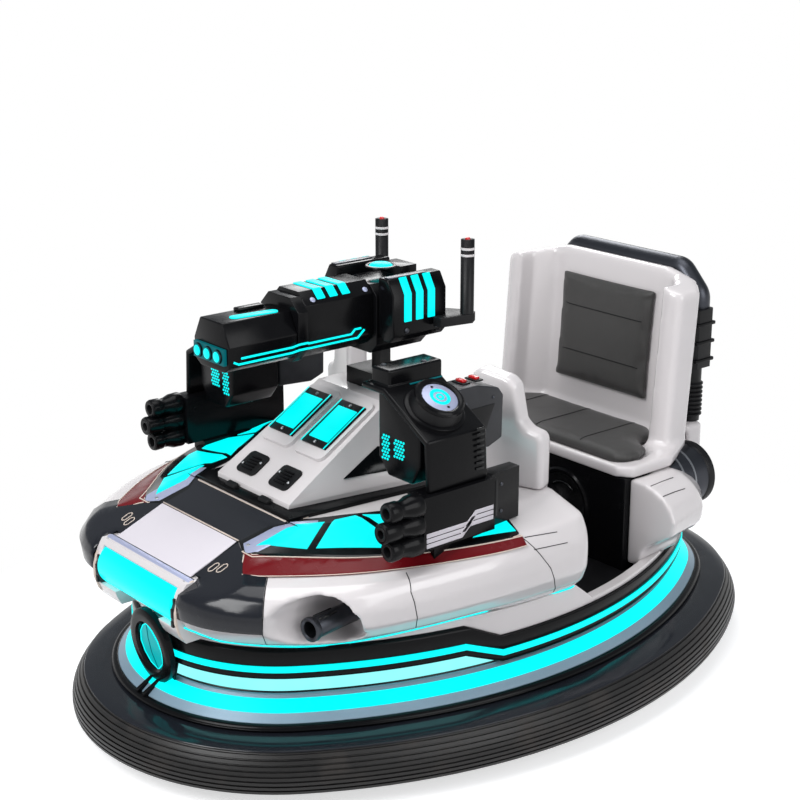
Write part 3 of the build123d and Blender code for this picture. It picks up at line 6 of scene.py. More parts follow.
import bpy
from bpy.props import FloatProperty, FloatVectorProperty, PointerProperty
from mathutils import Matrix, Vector

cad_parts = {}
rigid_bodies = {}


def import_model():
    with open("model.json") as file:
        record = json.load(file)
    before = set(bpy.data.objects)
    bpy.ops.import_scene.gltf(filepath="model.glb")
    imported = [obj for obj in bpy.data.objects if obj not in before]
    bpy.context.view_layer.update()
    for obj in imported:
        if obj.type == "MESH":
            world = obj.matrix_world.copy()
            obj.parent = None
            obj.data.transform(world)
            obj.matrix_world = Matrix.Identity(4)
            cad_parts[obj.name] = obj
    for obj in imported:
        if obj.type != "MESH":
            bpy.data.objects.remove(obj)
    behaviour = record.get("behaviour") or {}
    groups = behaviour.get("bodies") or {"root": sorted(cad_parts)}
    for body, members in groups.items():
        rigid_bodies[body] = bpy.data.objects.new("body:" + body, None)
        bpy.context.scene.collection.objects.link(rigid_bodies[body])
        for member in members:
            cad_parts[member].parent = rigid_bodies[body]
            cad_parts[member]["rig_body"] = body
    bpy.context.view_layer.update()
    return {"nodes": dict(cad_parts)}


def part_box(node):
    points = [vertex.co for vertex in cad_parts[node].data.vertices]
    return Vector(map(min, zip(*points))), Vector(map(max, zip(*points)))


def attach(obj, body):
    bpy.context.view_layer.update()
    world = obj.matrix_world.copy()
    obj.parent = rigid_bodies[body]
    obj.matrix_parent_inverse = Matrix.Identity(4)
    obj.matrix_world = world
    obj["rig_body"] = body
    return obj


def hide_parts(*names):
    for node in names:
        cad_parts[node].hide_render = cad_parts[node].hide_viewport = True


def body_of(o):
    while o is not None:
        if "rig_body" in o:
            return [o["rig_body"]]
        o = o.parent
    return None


bl_info = {
    "name": "Turret bumper car",
    "version": (1, 0, 0),
    "blender": (4, 5, 0),
    "location": "View3D > Sidebar > Bumper car",
    "description": "Dresses the packed frame of a lit bumper car with a gun turret",
    "category": "Object",
}

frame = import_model()
NODES = frame["nodes"]
MM = 0.001
FINE_GRAIN = 0.0006  # depth of a fine grain, in metres
MERGE_CAD, MERGE_NEW = 0.00001, 0.00002  # corners nearer than this become one
MELT_FLAT, MELT_CURVED = math.radians(0.6), math.radians(0.05)
EDGE_ANGLE = math.radians(30)  # sharper edges than this are rounded


# ---- shader arithmetic -------------------------------------------------------------------


class Flow:
    """An output socket that takes part in arithmetic."""

    def __init__(self, tree, socket):
        self.tree = tree
        self.socket = socket

    def math(self, operation, other, first=None):
        made = self.tree.nodes.new("ShaderNodeMath")
        made.operation = operation
        feed(self.tree, made.inputs[0], self if first is None else first)
        feed(self.tree, made.inputs[1], other)
        return Flow(self.tree, made.outputs[0])

    def __add__(self, other):
        return self.math("ADD", other)

    def __mul__(self, other):
        return self.math("MULTIPLY", other)

    def __rsub__(self, other):
        return self.math("SUBTRACT", self, other)

    __radd__ = __add__
    __rmul__ = __mul__


def feed(tree, socket, value):
    """Links a flow to a socket, or sets the socket's own number or colour."""
    if isinstance(value, Flow):
        tree.links.new(value.socket, socket)
    else:
        socket.default_value = value


class Paint:
    """One node material and the calls that build it."""

    def __init__(self, name):
        self.material = bpy.data.materials.new(name)
        self.material.use_nodes = True
        self.tree = self.material.node_tree
        self.tree.nodes.clear()

    def node(self, kind, settings=None, sockets=None, out=0):
        made = self.tree.nodes.new(kind)
        for key, value in (settings or {}).items():
            setattr(made, key, value)
        for key, value in (sockets or {}).items():
            feed(self.tree, made.inputs[key], value)
        return Flow(self.tree, made.outputs[out]) if made.outputs else None

    def place(self, scale=(1, 1, 1)):
        """Object coordinates, through a Mapping node."""
        where = self.node("ShaderNodeTexCoord", out="Object")
        return self.node("ShaderNodeMapping", sockets={"Vector": where, "Scale": scale})

    def cells(self, scale, settings=None):
        """Distances in a field of irregular cells."""
        return self.node(
            "ShaderNodeTexVoronoi", settings, {"Vector": self.place(), "Scale": scale}
        )

    def noise(self, scale, detail=3.0, where=None):
        where = where or self.place()
        return self.node(
            "ShaderNodeTexNoise", sockets={"Vector": where, "Scale": scale, "Detail": detail},
            out="Fac",
        )

    def ramp(self, flow, low, high):
        """0 below low and 1 above high."""
        return self.node(
            "ShaderNodeMapRange", {"clamp": True},
            {"Value": flow, "From Min": low, "From Max": high},
        )

    def mix(self, amount, first, second):
        """Colour mix."""
        return self.node(
            "ShaderNodeMix", {"data_type": "RGBA"}, {0: amount, 6: first, 7: second}, out=2
        )

    def bump(self, height, strength, depth):
        return self.node(
            "ShaderNodeBump", sockets={"Height": height, "Strength": strength, "Distance": depth}
        )

    def shader(self, **values):
        sockets = {key.replace("_", " "): value for key, value in values.items()}
        return self.node("ShaderNodeBsdfPrincipled", sockets=sockets, out="BSDF")

    def done(self, surface):
        self.node("ShaderNodeOutputMaterial", sockets={"Surface": surface})
        return self.material


def tone(shade):
    """A colour given as 0-255 sRGB numbers, in linear light."""
    linear = []
    for value in shade:
        part = value / 255.0
        linear.append(part / 12.92 if part <= 0.04045 else ((part + 0.055) / 1.055) ** 2.4)
    return (*linear, 1.0)


def scaled(shade, factor):
    """A colour made darker or lighter."""
    return tuple(part * factor for part in shade[:3]) + (1.0,)


# ---- what a user may change --------------------------------------------------------------


def shade_property(name, description, shade):
    return FloatVectorProperty(
        name=name, description=description, default=tone(shade)[:3], min=0.0, max=1.0, size=3,
        subtype="COLOR",
    )


class ShellSettings(bpy.types.PropertyGroup):
    """Colours of the moulded body."""

    white: shade_property("White", "Colour of the moulded shells", (211, 206, 207))
    slate: shade_property("Slate", "Colour of the dark panels", (27, 29, 35))
    black: shade_property("Black", "Colour of the black mouldings", (11, 11, 13))
    stripe: shade_property("Stripe", "Colour of the side stripes", (102, 14, 21))
    plate: shade_property("Plate", "Colour of the nose plate", (205, 200, 207))
    lilac: shade_property("Trim", "Colour of the satin trim", (176, 182, 212))
    band: shade_property("Band", "Colour of the bumper band", (148, 172, 190))


class LightSettings(bpy.types.PropertyGroup):
    """Colours and strength of the car's own lights."""

    cyan: shade_property("Cyan", "Colour of the bright lights", (0, 255, 255))
    pale: shade_property("Pale", "Colour of the wide glow panel", (150, 255, 255))
    strength: FloatProperty(
        name="Strength", description="How bright the lights are", default=1.15, min=0.0
    )


def size_property(name, description, size):
    return FloatProperty(
        name=name, description=description, default=size * MM, min=0.0, unit="LENGTH"
    )


class SizeSettings(bpy.types.PropertyGroup):
    """Sizes of the lines and the cushions."""

    joint_line: size_property("Joint line", "Radius of the hull's joint lines", 0.9)
    light_line: size_property("Light line", "Radius of the gun's light lines", 2.3)
    puff: size_property("Cushion puff", "How far the cushions may swell", 7.0)


# ---- finishes ----------------------------------------------------------------------------


def lacquer(name, shade, roughness, coat=0.0, specular=0.5, mottle=0.06, ripple=0.05):
    """A moulded, lacquered plastic: faint mottling, smudges and ripple."""
    paint = Paint(name)
    cloud = paint.noise(7.0, 4.0)
    smudge = paint.ramp(paint.noise(26.0, 5.0), 0.35, 0.75)
    colour = paint.mix(cloud, scaled(shade, 1.0 - mottle), shade)
    fine = paint.noise(900.0, 2.0)
    wave = paint.noise(30.0, 1.0)
    normal = paint.bump(wave * 0.8 + fine * 0.2, ripple, 0.001)
    return paint.done(
        paint.shader(
            Base_Color=colour, Roughness=smudge * (roughness * 0.5) + roughness * 0.8,
            Normal=normal, Coat_Weight=coat, Coat_Roughness=0.04, Specular_IOR_Level=specular,
        )
    )


def textured(name, shade, roughness, grain=700.0, depth=0.25, metallic=0.0, specular=0.4):
    """A matt moulding with a fine grain, a little rubbed."""
    paint = Paint(name)
    rubbed = paint.ramp(paint.noise(18.0, 6.0), 0.45, 0.8)
    light = tuple(min(1.0, part * 1.7 + 0.006) for part in shade[:3]) + (1.0,)
    colour = paint.mix(rubbed * 0.6, shade, light)
    normal = paint.bump(paint.cells(grain), depth, FINE_GRAIN)
    return paint.done(
        paint.shader(
            Base_Color=colour, Roughness=rubbed * 0.12 + roughness, Metallic=metallic,
            Specular_IOR_Level=specular, Normal=normal,
        )
    )


def brushed(name, shade, roughness, along=(1, 1, 0.04), metallic=1.0):
    """A satin metal with fine lines and faint cloudiness."""
    paint = Paint(name)
    lines = paint.noise(420.0, 2.0, paint.place(scale=along))
    cloud = paint.noise(9.0, 4.0)
    colour = paint.mix(lines * 0.5 + cloud * 0.5, scaled(shade, 0.78), shade)
    return paint.done(
        paint.shader(
            Base_Color=colour, Roughness=lines * 0.14 + roughness, Metallic=metallic,
            Normal=paint.bump(lines, 0.08, 0.0005),
        )
    )


def lamp(name, shade, strength):
    """A lit diffuser; its light is a little uneven behind the lens."""
    paint = Paint(name)
    cloud = paint.noise(16.0, 2.0)
    colour = paint.mix(paint.ramp(cloud, 0.3, 0.7), scaled(shade, 0.9), shade)
    return paint.done(
        paint.shader(
            Base_Color=tone((0, 40, 42)), Emission_Color=colour, Emission_Strength=strength,
            Roughness=0.35, Specular_IOR_Level=0.1,
        )
    )


def skirt_rubber(name):
    """Bumper rubber: black, with paler rubbed crests and scuffs."""
    paint = Paint(name)
    scuff = paint.ramp(paint.noise(11.0, 8.0), 0.52, 0.74)
    streak = paint.ramp(paint.noise(60.0, 3.0, paint.place(scale=(1, 1, 12))), 0.5, 0.9)
    colour = paint.mix(scuff * 0.5 + streak * 0.25, tone((20, 19, 19)), tone((58, 52, 48)))
    grain = paint.noise(1100.0, 2.0)
    return paint.done(
        paint.shader(
            Base_Color=colour, Roughness=scuff * 0.15 + 0.42, Specular_IOR_Level=0.4,
            Normal=paint.bump(grain, 0.2, FINE_GRAIN),
        )
    )


def hide(name, shade):
    """Upholstery hide with a pebbled grain and soft creases."""
    paint = Paint(name)
    pebbles = paint.cells(420.0, {"feature": "DISTANCE_TO_EDGE"})
    crease = paint.noise(34.0, 7.0)
    colour = paint.mix(paint.ramp(crease, 0.4, 0.75) * 0.5, shade, scaled(shade, 1.5))
    height = paint.ramp(pebbles, 0.0, 0.18) * 0.6 + crease * 0.4
    return paint.done(
        paint.shader(
            Base_Color=colour, Roughness=crease * 0.2 + 0.3, Specular_IOR_Level=0.5,
            Sheen_Weight=0.1, Normal=paint.bump(height, 0.35, 0.0012),
        )
    )


FINISHES = {}


def finish(name):
    """A finish by name, made the first time that it is asked for."""
    if name not in FINISHES:
        shells = bpy.context.scene.shell_settings
        lights = bpy.context.scene.light_settings
        makers = {
            "white": lambda: lacquer("white_lacquer", (*shells.white, 1), 0.2, 0.5),
            "slate": lambda: lacquer("slate_gloss", (*shells.slate, 1), 0.16, 0.08, 0.3),
            "black": lambda: lacquer(
                "black_gloss", (*shells.black, 1), 0.22, 0.0, 0.13, ripple=0.015
            ),
            "stripe": lambda: lacquer("maroon_gloss", (*shells.stripe, 1), 0.25, 0.0, 0.18),
            "plate": lambda: lacquer("plate_enamel", (*shells.plate, 1), 0.4, 0.0, 0.3, 0.02),
            "frame": lambda: lacquer("frame_gloss", tone((10, 12, 14)), 0.14, 0.0, 0.3),
            "beige": lambda: lacquer("beige_edge", tone((205, 190, 178)), 0.4),
            "lilac": lambda: brushed("lilac_satin", (*shells.lilac, 1), 0.34, metallic=0.35),
            "band": lambda: brushed("silver_blue", (*shells.band, 1), 0.3, metallic=0.35),
            "cyan": lambda: lamp("cyan_light", (*lights.cyan, 1), lights.strength),
            "pale": lambda: lamp("pale_light", (*lights.pale, 1), lights.strength * 0.95),
            "lens": lambda: lamp("lens_glow", tone((0, 178, 182)), 1.0),
            "teal": lambda: lamp("teal_glow", tone((0, 92, 100)), 1.0),
            "screen": lambda: lamp("screen_light", (*lights.cyan, 1), lights.strength * 0.9),
            "moulding": lambda: textured("black_moulding", tone((14, 14, 16)), 0.4, specular=0.22),
            "grey": lambda: textured("grey_moulding", tone((40, 41, 45)), 0.36, specular=0.3),
            "deck": lambda: textured("deck_steel", tone((52, 54, 58)), 0.5, 300.0, metallic=0.8),
            "rubber": lambda: skirt_rubber("bumper_rubber"),
            "tyre": lambda: textured("tyre_rubber", tone((26, 26, 27)), 0.62, 500.0, 0.4),
            "hide": lambda: hide("seat_hide", tone((46, 45, 44))),
            "gunmetal": lambda: brushed("gun_metal", tone((72, 74, 80)), 0.3, (1, 1, 0.1)),
            "steel": lambda: brushed("bright_steel", tone((190, 192, 196)), 0.24, (1, 1, 0.1)),
            "alloy": lambda: brushed("cast_alloy", tone((150, 153, 158)), 0.36, (1, 0.1, 1)),
            "battery": lambda: textured("battery_case", tone((40, 46, 60)), 0.5, 400.0),
            "red": lambda: lacquer("red_button", tone((190, 20, 24)), 0.25, 0.3),
        }
        FINISHES[name] = makers[name]()
    return FINISHES[name]


def wear(piece, name):
    """Gives a piece one finish all over."""
    piece.data.materials.clear()
    piece.data.materials.append(finish(name))
    return piece


# ---- modelling helpers -------------------------------------------------------------------


def clear_selection():
    if bpy.context.object and bpy.context.object.mode != "OBJECT":
        bpy.ops.object.mode_set(mode="OBJECT")
    bpy.ops.object.select_all(action="DESELECT")


def take(piece):
    """Selects one piece alone and makes it active."""
    clear_selection()
    piece.select_set(True)
    bpy.context.view_layer.objects.active = piece
    return piece


def apply_modifier(piece, kind, **values):
    take(piece)
    made = piece.modifiers.new(kind.lower(), kind)
    for key, value in values.items():
        setattr(made, key, value)
    bpy.ops.object.modifier_apply(modifier=made.name)


@contextmanager
def shaping(piece):
    """Edit mode on a piece, with all of it selected."""
    take(piece)
    bpy.ops.object.mode_set(mode="EDIT")
    bpy.ops.mesh.select_all(action="SELECT")
    yield
    bpy.ops.object.mode_set(mode="OBJECT")


def bevelled(piece, width, steps):
    """Rounds the sharp edges; the width is in metres."""
    apply_modifier(
        piece, "BEVEL", width=width, segments=steps, limit_method="ANGLE", angle_limit=EDGE_ANGLE,
        use_clamp_overlap=True,
    )


def smooth(piece, angle=35):
    take(piece)
    bpy.ops.object.shade_smooth_by_angle(angle=math.radians(angle))


def copy_of(node, name):
    """A new piece with the mesh of a CAD node, merged."""
    piece = bpy.data.objects.new(name, NODES[node].data.copy())
    bpy.context.scene.collection.objects.link(piece)
    with shaping(piece):
        bpy.ops.mesh.remove_doubles(threshold=MERGE_CAD)
    return piece


def fitted(piece, name, finish_name, body="root"):
    """Names a finished piece, gives it its finish and lets it ride."""
    clear_selection()
    piece.name = name
    wear(piece, finish_name)
    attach(piece, body)
    return piece


def softened(node, finish_name, width, steps=3):
    """A copy of a CAD node with rounded edges, standing for it."""
    piece = copy_of(node, node + "_soft")
    curved = node in CURVED_SKINS
    with shaping(piece):
        bpy.ops.mesh.dissolve_limited(angle_limit=MELT_CURVED if curved else MELT_FLAT)
    if width:
        bevelled(piece, width, steps)
    smooth(piece, 60 if curved else 35)
    if curved:
        apply_modifier(piece, "WEIGHTED_NORMAL", keep_sharp=True, weight=80)
    clear_selection()
    wear(piece, finish_name)
    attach(piece, body_of(NODES[node])[0])
    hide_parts(node)
    return piece


def remoulded(node, finish_name, voxel, passes):
    """A copy of a shell with every edge run round, as moulded plastic has it."""
    piece = copy_of(node, node + "_soft")
    apply_modifier(piece, "REMESH", mode="VOXEL", voxel_size=voxel * MM)
    apply_modifier(piece, "SMOOTH", factor=0.5, iterations=passes)
    smooth(piece, 80)
    clear_selection()
    wear(piece, finish_name)
    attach(piece, "root")
    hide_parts(node)
    return piece


def drawn(points, closed=False):
    """A line through points in millimetres, drawn by extruding one corner."""
    spots = [Vector(point) * MM for point in points]
    clear_selection()
    bpy.ops.mesh.primitive_plane_add(size=0.001, location=(0, 0, 0))
    piece = bpy.context.object
    with shaping(piece):
        bpy.ops.mesh.merge(type="CENTER")
        bpy.ops.transform.translate(value=spots[0])
        for start, end in zip(spots, spots[1:]):
            bpy.ops.mesh.extrude_region_move(TRANSFORM_OT_translate={"value": end - start})
        if closed:
            bpy.ops.mesh.select_all(action="SELECT")
            bpy.ops.mesh.edge_face_add()
    return piece


def outward(piece):
    """Merges doubles and turns the faces outwards."""
    with shaping(piece):
        bpy.ops.mesh.remove_doubles(threshold=MERGE_NEW)
        bpy.ops.mesh.normals_make_consistent(inside=False)
    return piece


def rounded(piece, width, steps=2):
    """Bevels a piece's edges, if at all; the width is in millimetres."""
    if width:
        bevelled(piece, width * MM, steps)
    smooth(piece)
    return piece


def both_sides(piece):
    """Adds the piece's own mirror image on the other side of the car."""
    apply_modifier(piece, "MIRROR", use_mirror_merge=False)
    return piece


def slab(outline, push, edge=1.0, steps=2):
    """A plate: an outline, extruded by a push in millimetres, with soft edges."""
    piece = drawn(outline, closed=True)
    with shaping(piece):
        bpy.ops.mesh.extrude_region_move(TRANSFORM_OT_translate={"value": Vector(push) * MM})
    return rounded(outward(piece), edge, steps)


def oblong(near, far, push, edge=1.0, steps=2):
    """A plate whose outline is the rectangle between two opposite corners."""
    axis = 1 if near[0] == far[0] else 0
    second, fourth = list(near), list(far)
    second[axis], fourth[axis] = far[axis], near[axis]
    return slab([near, second, far, fourth], push, edge, steps)


def turned(profile, centre, axis, steps=48, edge=0.0):
    """A turned part: (radius, distance along the axis) points in millimetres, spun."""
    middle, along = Vector(centre), Vector(axis).normalized()
    side = along.orthogonal().normalized()
    piece = drawn([middle + side * radius + along * far for radius, far in profile])
    with shaping(piece):
        bpy.ops.mesh.spin(
            steps=steps, angle=math.tau, center=middle * MM, axis=along, use_auto_merge=False
        )
    return rounded(outward(piece), edge)


def tubed(piece, radius):
    """Turns a line of edges into a round rod; the radius is in millimetres."""
    take(piece)
    bpy.ops.object.convert(target="CURVE")
    shape = bpy.context.object.data
    shape.dimensions = "3D"
    shape.bevel_depth = radius * MM
    shape.bevel_resolution = 3
    shape.use_fill_caps = True
    bpy.ops.object.convert(target="MESH")
    smooth(bpy.context.object, 50)
    return outward(bpy.context.object)


def rod(points, radius):
    """A round rod through points in millimetres."""
    return tubed(drawn(points), radius)


def seam(points, target, radius, offset, cuts):
    """A thin rod laid on the surface of a piece, or of a CAD node given by name."""
    line = drawn(points)
    with shaping(line):
        bpy.ops.mesh.subdivide(number_cuts=cuts)
    apply_modifier(
        line, "SHRINKWRAP", target=NODES[target] if isinstance(target, str) else target,
        wrap_method="NEAREST_SURFACEPOINT", wrap_mode="ABOVE_SURFACE", offset=offset * MM,
    )
    return tubed(line, radius)


def pared(piece, spot, normal):
    """Cuts away what lies on the normal's side of a plane; the spot is in millimetres."""
    with shaping(piece):
        bpy.ops.mesh.bisect(
            plane_co=Vector(spot) * MM, plane_no=Vector(normal).normalized(), use_fill=True,
            clear_outer=True,
        )
    return piece


def cut_out(node, outline, lift, edge):
    """The part of a CAD node inside a convex outline seen from above, lifted a little."""
    piece = copy_of(node, node + "_cut")
    spots = [Vector(point) for point in outline]
    middle = sum(spots, Vector()) / len(spots)
    for start, end in zip(spots, spots[1:] + spots[:1]):
        normal = (end - start).cross(Vector((0, 0, 1)))
        if normal.dot(middle - start) > 0:
            normal.negate()
        pared(piece, start, normal)
    with shaping(piece):
        bpy.ops.mesh.dissolve_limited(angle_limit=MELT_FLAT)
        bpy.ops.transform.translate(value=Vector((0, 0, lift)) * MM)
    return rounded(piece, edge)


def level_line(node, height, radius):
    """A rod where a CAD node's surface crosses a height."""
    piece = copy_of(node, node + "_line")
    with shaping(piece):
        bpy.ops.mesh.bisect(
            plane_co=(0, 0, height * MM), plane_no=(0, 0, 1), clear_outer=True, clear_inner=True
        )
    return tubed(piece, radius)


def pair(piece, name, finish_name, body="root"):
    """A finished piece and its mirror image, as one piece."""
    return fitted(both_sides(piece), name, finish_name, body)


# ---- operators ---------------------------------------------------------------------------

CARRIED = {
    "rubber": ("bumper_skirt",),
    "band": ("light_band",),
    "cyan": ("ring_lights",),
    "moulding": ("floor_pan",),
    "gunmetal": ("roll_tube",),
    "frame": ("side_windows",),
}
# node: finish, voxel in millimetres, smoothing passes
REMOULDED = {
    "hull_shell": ("white", 6.0, 8),
    "seat_shell": ("white", 6.5, 14),
    "fenders": ("white", 6.0, 10),
    "rear_fairing": ("white", 7.0, 12),
    "cockpit_shields": ("white", 4.5, 8),
}
CURVED_SKINS = ("red_stripes", "hull_sill")
# node: finish, edge radius in millimetres, faces across the edge
SOFT_EDGES = {
    "bumper_shoulder": ("slate", 2.5, 3),
    "apron_trim": ("black", 2.5, 3),
    "chassis_deck": ("deck", 2.0, 2),
    "rail_moulding": ("black", 1.8, 2),
    "glow_panel": ("pale", 1.0, 2),
    "hull_sill": ("white", 2.5, 2),
    "flank_nozzles": ("gunmetal", 1.5, 2),
    "red_stripes": ("stripe", 0.8, 2),
    "nose_plate": ("plate", 2.0, 3),
    "nose_light": ("cyan", 6.0, 4),
    "nose_rim": ("white", 5.0, 4),
    "cowl_base": ("black", 2.0, 2),
    "cowl": ("white", 8.0, 4),
    "cowl_panels": ("moulding", 1.2, 2),
    "turret_post": ("moulding", 2.0, 2),
    "gun_saddles": ("black", 5.0, 4),
    "saddle_knobs": ("moulding", 3.0, 3),
    "speaker_pods": ("black", 6.0, 3),
    "gun_boxes": ("black", 2.5, 3),
    "gun_barrels": ("moulding", 1.5, 2),
    "switch_boxes": ("grey", 4.0, 3),
    "seat_box": ("black", 3.0, 3),
    "battery_block": ("battery", 4.0, 3),
    "seat_speakers": ("moulding", 1.0, 2),
    "thruster_drums": ("gunmetal", 3.0, 3),
    "rear_tanks": ("moulding", 3.5, 3),
    "tyre_left": ("tyre", 2.0, 2),
    "tyre_right": ("tyre", 2.0, 2),
    "wheel_hub_left": ("alloy", 2.0, 2),
    "wheel_hub_right": ("alloy", 2.0, 2),
    "drive_motors": ("steel", 3.0, 2),
    "caster_mounts": ("steel", 1.5, 2),
    "caster_fork_front": ("steel", 1.5, 2),
    "caster_fork_rear": ("steel", 1.5, 2),
    "caster_wheel_front": ("tyre", 2.0, 2),
    "caster_wheel_rear": ("tyre", 2.0, 2),
    "turret_hub": ("black", 3.0, 3),
    "gun_breech": ("black", 3.0, 3),
    "gun_front": ("black", 3.0, 3),
    "gun_lamps": ("teal", 1.5, 3),
    "turret_pods": ("black", 4.0, 3),
}


class CAR_OT_carried_nodes(bpy.types.Operator):
    """Gives each CAD node that stays its finish"""

    bl_idname = "bumper_car.carried_nodes"
    bl_label = "Finish the carried nodes"

    def execute(self, context):
        for name, nodes in CARRIED.items():
            for node in nodes:
                wear(NODES[node], name)
        return {"FINISHED"}


class CAR_OT_soft_edges(bpy.types.Operator):
    """Rounds the edges of the moulded and pressed parts"""

    bl_idname = "bumper_car.soft_edges"
    bl_label = "Round the moulded edges"

    def execute(self, context):
        for node, (name, width, steps) in SOFT_EDGES.items():
            softened(node, name, width * MM, steps)
        for node, (name, voxel, passes) in REMOULDED.items():
            remoulded(node, name, voxel, passes)
        hull = bpy.data.objects["hull_shell_soft"]
        panels = softened("nose_panels", "slate", 0.0)
        apply_modifier(panels, "SUBSURF", subdivision_type="SIMPLE", levels=2)
        apply_modifier(
            panels, "DATA_TRANSFER", object=hull, use_loop_data=True,
            data_types_loops={"CUSTOM_NORMAL"}, loop_mapping="POLYINTERP_NEAREST",
        )
        return {"FINISHED"}


# ---- hull --------------------------------------------------------------------------------

PANES = (
    ((188, -611), (266, -541), (222, -462), (186, -533)),
    ((276, -526), (364, -412), (372, -384), (234, -392), (226, -440)),
    ((378, -366), (414, -308), (347, -238), (240, -378)),
    ((420, -290), (463, -152), (400, -142), (361, -224)),
)
TIP = ((158, -621), (160, -545), (206, -467), (222, -480), (208, -621), (190, -639))
DECK_Z = 500
SEAMS = (
    ((428, -418, 461), (459, -432, 434), (467, -424, 392), (452, -405, 330)),
    ((480, -147, 480), (496, -123, 450), (503, -86, 402), (498, -70, 369), (466, -40, 323)),
    ((277, -647, 463), (317, -684, 443), (338, -704, 406), (332, -702, 379), (300, -668, 332)),
    ((480, -142, 480), (490, -58, 473)), ((496, -129, 454), (501, -38, 447)),
)
LOW_LINE = (
    (165, -772, 354), (195, -765, 353), (214, -755, 348), (236, -736, 340), (262, -700, 328),
    (290, -650, 320), (312, -597, 318), (366, -482, 318), (403, -370, 318), (424, -186, 318),
    (451, -14, 318), (453, 30, 318),
)


def ring_mark(x, y):
    """The corners of a small upright lozenge on the nose panel."""
    half_wide, half_long, cut = 6.5, 12.5, 4.5
    spots = []
    for across, along in (
        (half_wide, half_long - cut), (half_wide - cut, half_long), (cut - half_wide, half_long),
        (-half_wide, half_long - cut), (-half_wide, cut - half_long),
        (cut - half_wide, -half_long), (half_wide - cut, -half_long), (half_wide, cut - half_long),
    ):
        spots.append((x + across, y + along, 474 + 0.4 * along))
    return spots + spots[:1]


class CAR_OT_hull(bpy.types.Operator):
    """Adds the lit panes, the hull's trim lines, seams and marks"""

    bl_idname = "bumper_car.hull"
    bl_label = "Add the hull's panes and lines"

    def execute(self, context):
        sizes = context.scene.size_settings
        for count, outline in enumerate(PANES):
            spots = [(x, y, DECK_Z) for x, y in outline]
            pane = cut_out("side_windows", spots, lift=1.4, edge=0.5)
            pair(pane, f"window_pane_{count + 1}", "screen")
        spots = [(x, y, DECK_Z) for x, y in TIP]
        tip = cut_out("side_windows", spots, lift=0.8, edge=0.4)
        pair(tip, "window_tips", "lilac")
        bolt = turned(
            [(0, 2.6), (3.2, 2.4), (4.2, 1.2), (4.4, -1), (0, -1)], (172, -619, 491.5),
            (0, -0.21, 0.98), 20,
        )
        pair(bolt, "window_tip_bolts", "steel")
        for count, points in enumerate(SEAMS):
            line = seam(points, "hull_shell", sizes.joint_line / MM, 0.0, 8)
            pair(line, f"hull_seam_{count + 1}", "moulding")
        pair(seam(LOW_LINE, "hull_shell", 2.0, 0.6, 14), "hull_low_light", "cyan")
        fitted(level_line("red_stripes", 484.4, 1.5), "stripe_upper_line", "beige")
        fitted(level_line("red_stripes", 466.6, 1.2), "stripe_lower_line", "beige")
        end = seam(
            ((189, -642, 484), (212, -660, 473), (237, -680, 464)), "red_stripes", 1.4, 0.2, 4
        )
        pair(end, "stripe_end_lines", "beige")
        for count, spot in enumerate(((161, -701), (181, -693))):
            mark = seam(ring_mark(*spot), "nose_panels", 1.1, 0.2, 1)
            pair(mark, f"nose_mark_{count + 1}", "beige")
        return {"FINISHED"}


# ---- nose --------------------------------------------------------------------------------

LIGHT_SIDE = (
    (-757, 437), (-779, 412), (-788.5, 388), (-788.5, 366), (-783, 349), (-742, 349), (-742, 437)
)
RIM_SIDE = (
    (-750, 445), (-768, 431), (-783, 410), (-789.5, 386), (-789.5, 362), (-780, 332), (-768, 318),
    (-742, 318), (-742, 445),
)


class CAR_OT_nose(bpy.types.Operator):
    """Adds the light bar's brackets, rim lines and strip, and the plate's edges"""

    bl_idname = "bumper_car.nose"
    bl_label = "Add the nose trim"

    def execute(self, context):
        bracket = slab([(141.5, y, z) for y, z in LIGHT_SIDE], (11, 0, 0), 1.2)
        pair(bracket, "light_brackets", "grey")
        for count, (low, high) in enumerate(((352, 366), (372, 392), (398, 412))):
            front = -790.0 if high < 400 else -784.0
            tooth = oblong((142.5, front, low), (150.5, front, high), (0, 6, 0), 0.8)
            pair(tooth, f"bracket_teeth_{count + 1}", "moulding")
        rim = slab([(153.0, y, z) for y, z in RIM_SIDE], (8.5, 0, 0), 2.0, 3)
        pair(rim, "light_rim_lines", "beige")
        side = [(-740, 440), (-741, 445.5), (-750, 446.5), (-770, 430.5), (-765, 427)]
        strip = slab([(-157, y, z) for y, z in side], (314, 0, 0), 1.0)
        fitted(strip, "nose_strip", "lilac")
        fitted(rod([(-156, -740, 445), (156, -740, 445)], 1.1), "nose_strip_gap", "moulding")
        bolt = turned(
            [(0, 2.4), (3.4, 2.2), (4.6, 1.0), (4.8, -1), (0, -1)], (146, -758, 440.5),
            (0, -0.62, 0.78), 20,
        )
        pair(bolt, "nose_strip_bolts", "steel")
        rear = rod([(-141, -621, 492), (141, -621, 492)], 1.7)
        fitted(rear, "plate_rear_line", "beige")
        side = rod([(140.6, -621, 492), (140.6, -736, 443)], 0.9)
        pair(side, "plate_side_gaps", "moulding")
        lip = rod(
            [
                (-168, -505, 514), (-160, -518, 513), (160, -518, 513), (168, -505, 514),
                (176, -470, 515),
            ],
            1.9,
        )
        fitted(lip, "brow_lip", "beige")
        return {"FINISHED"}


# ---- cowl --------------------------------------------------------------------------------

COWL_LIP = (-487.0, 533.0)
COWL_SLOPE = (0.8522, 0.5232)
SCREEN_X, SCREEN_AT = 59.0, 212.0
VENT_X, VENT_AT = 59.0, 52.0


def on_cowl(x, along, height=0.0):
    """A point on the cowl's sloping face: across, up the slope and off the face."""
    run, rise = COWL_SLOPE
    return (
        x, COWL_LIP[0] + run * along - rise * height, COWL_LIP[1] + rise * along + run * height
    )


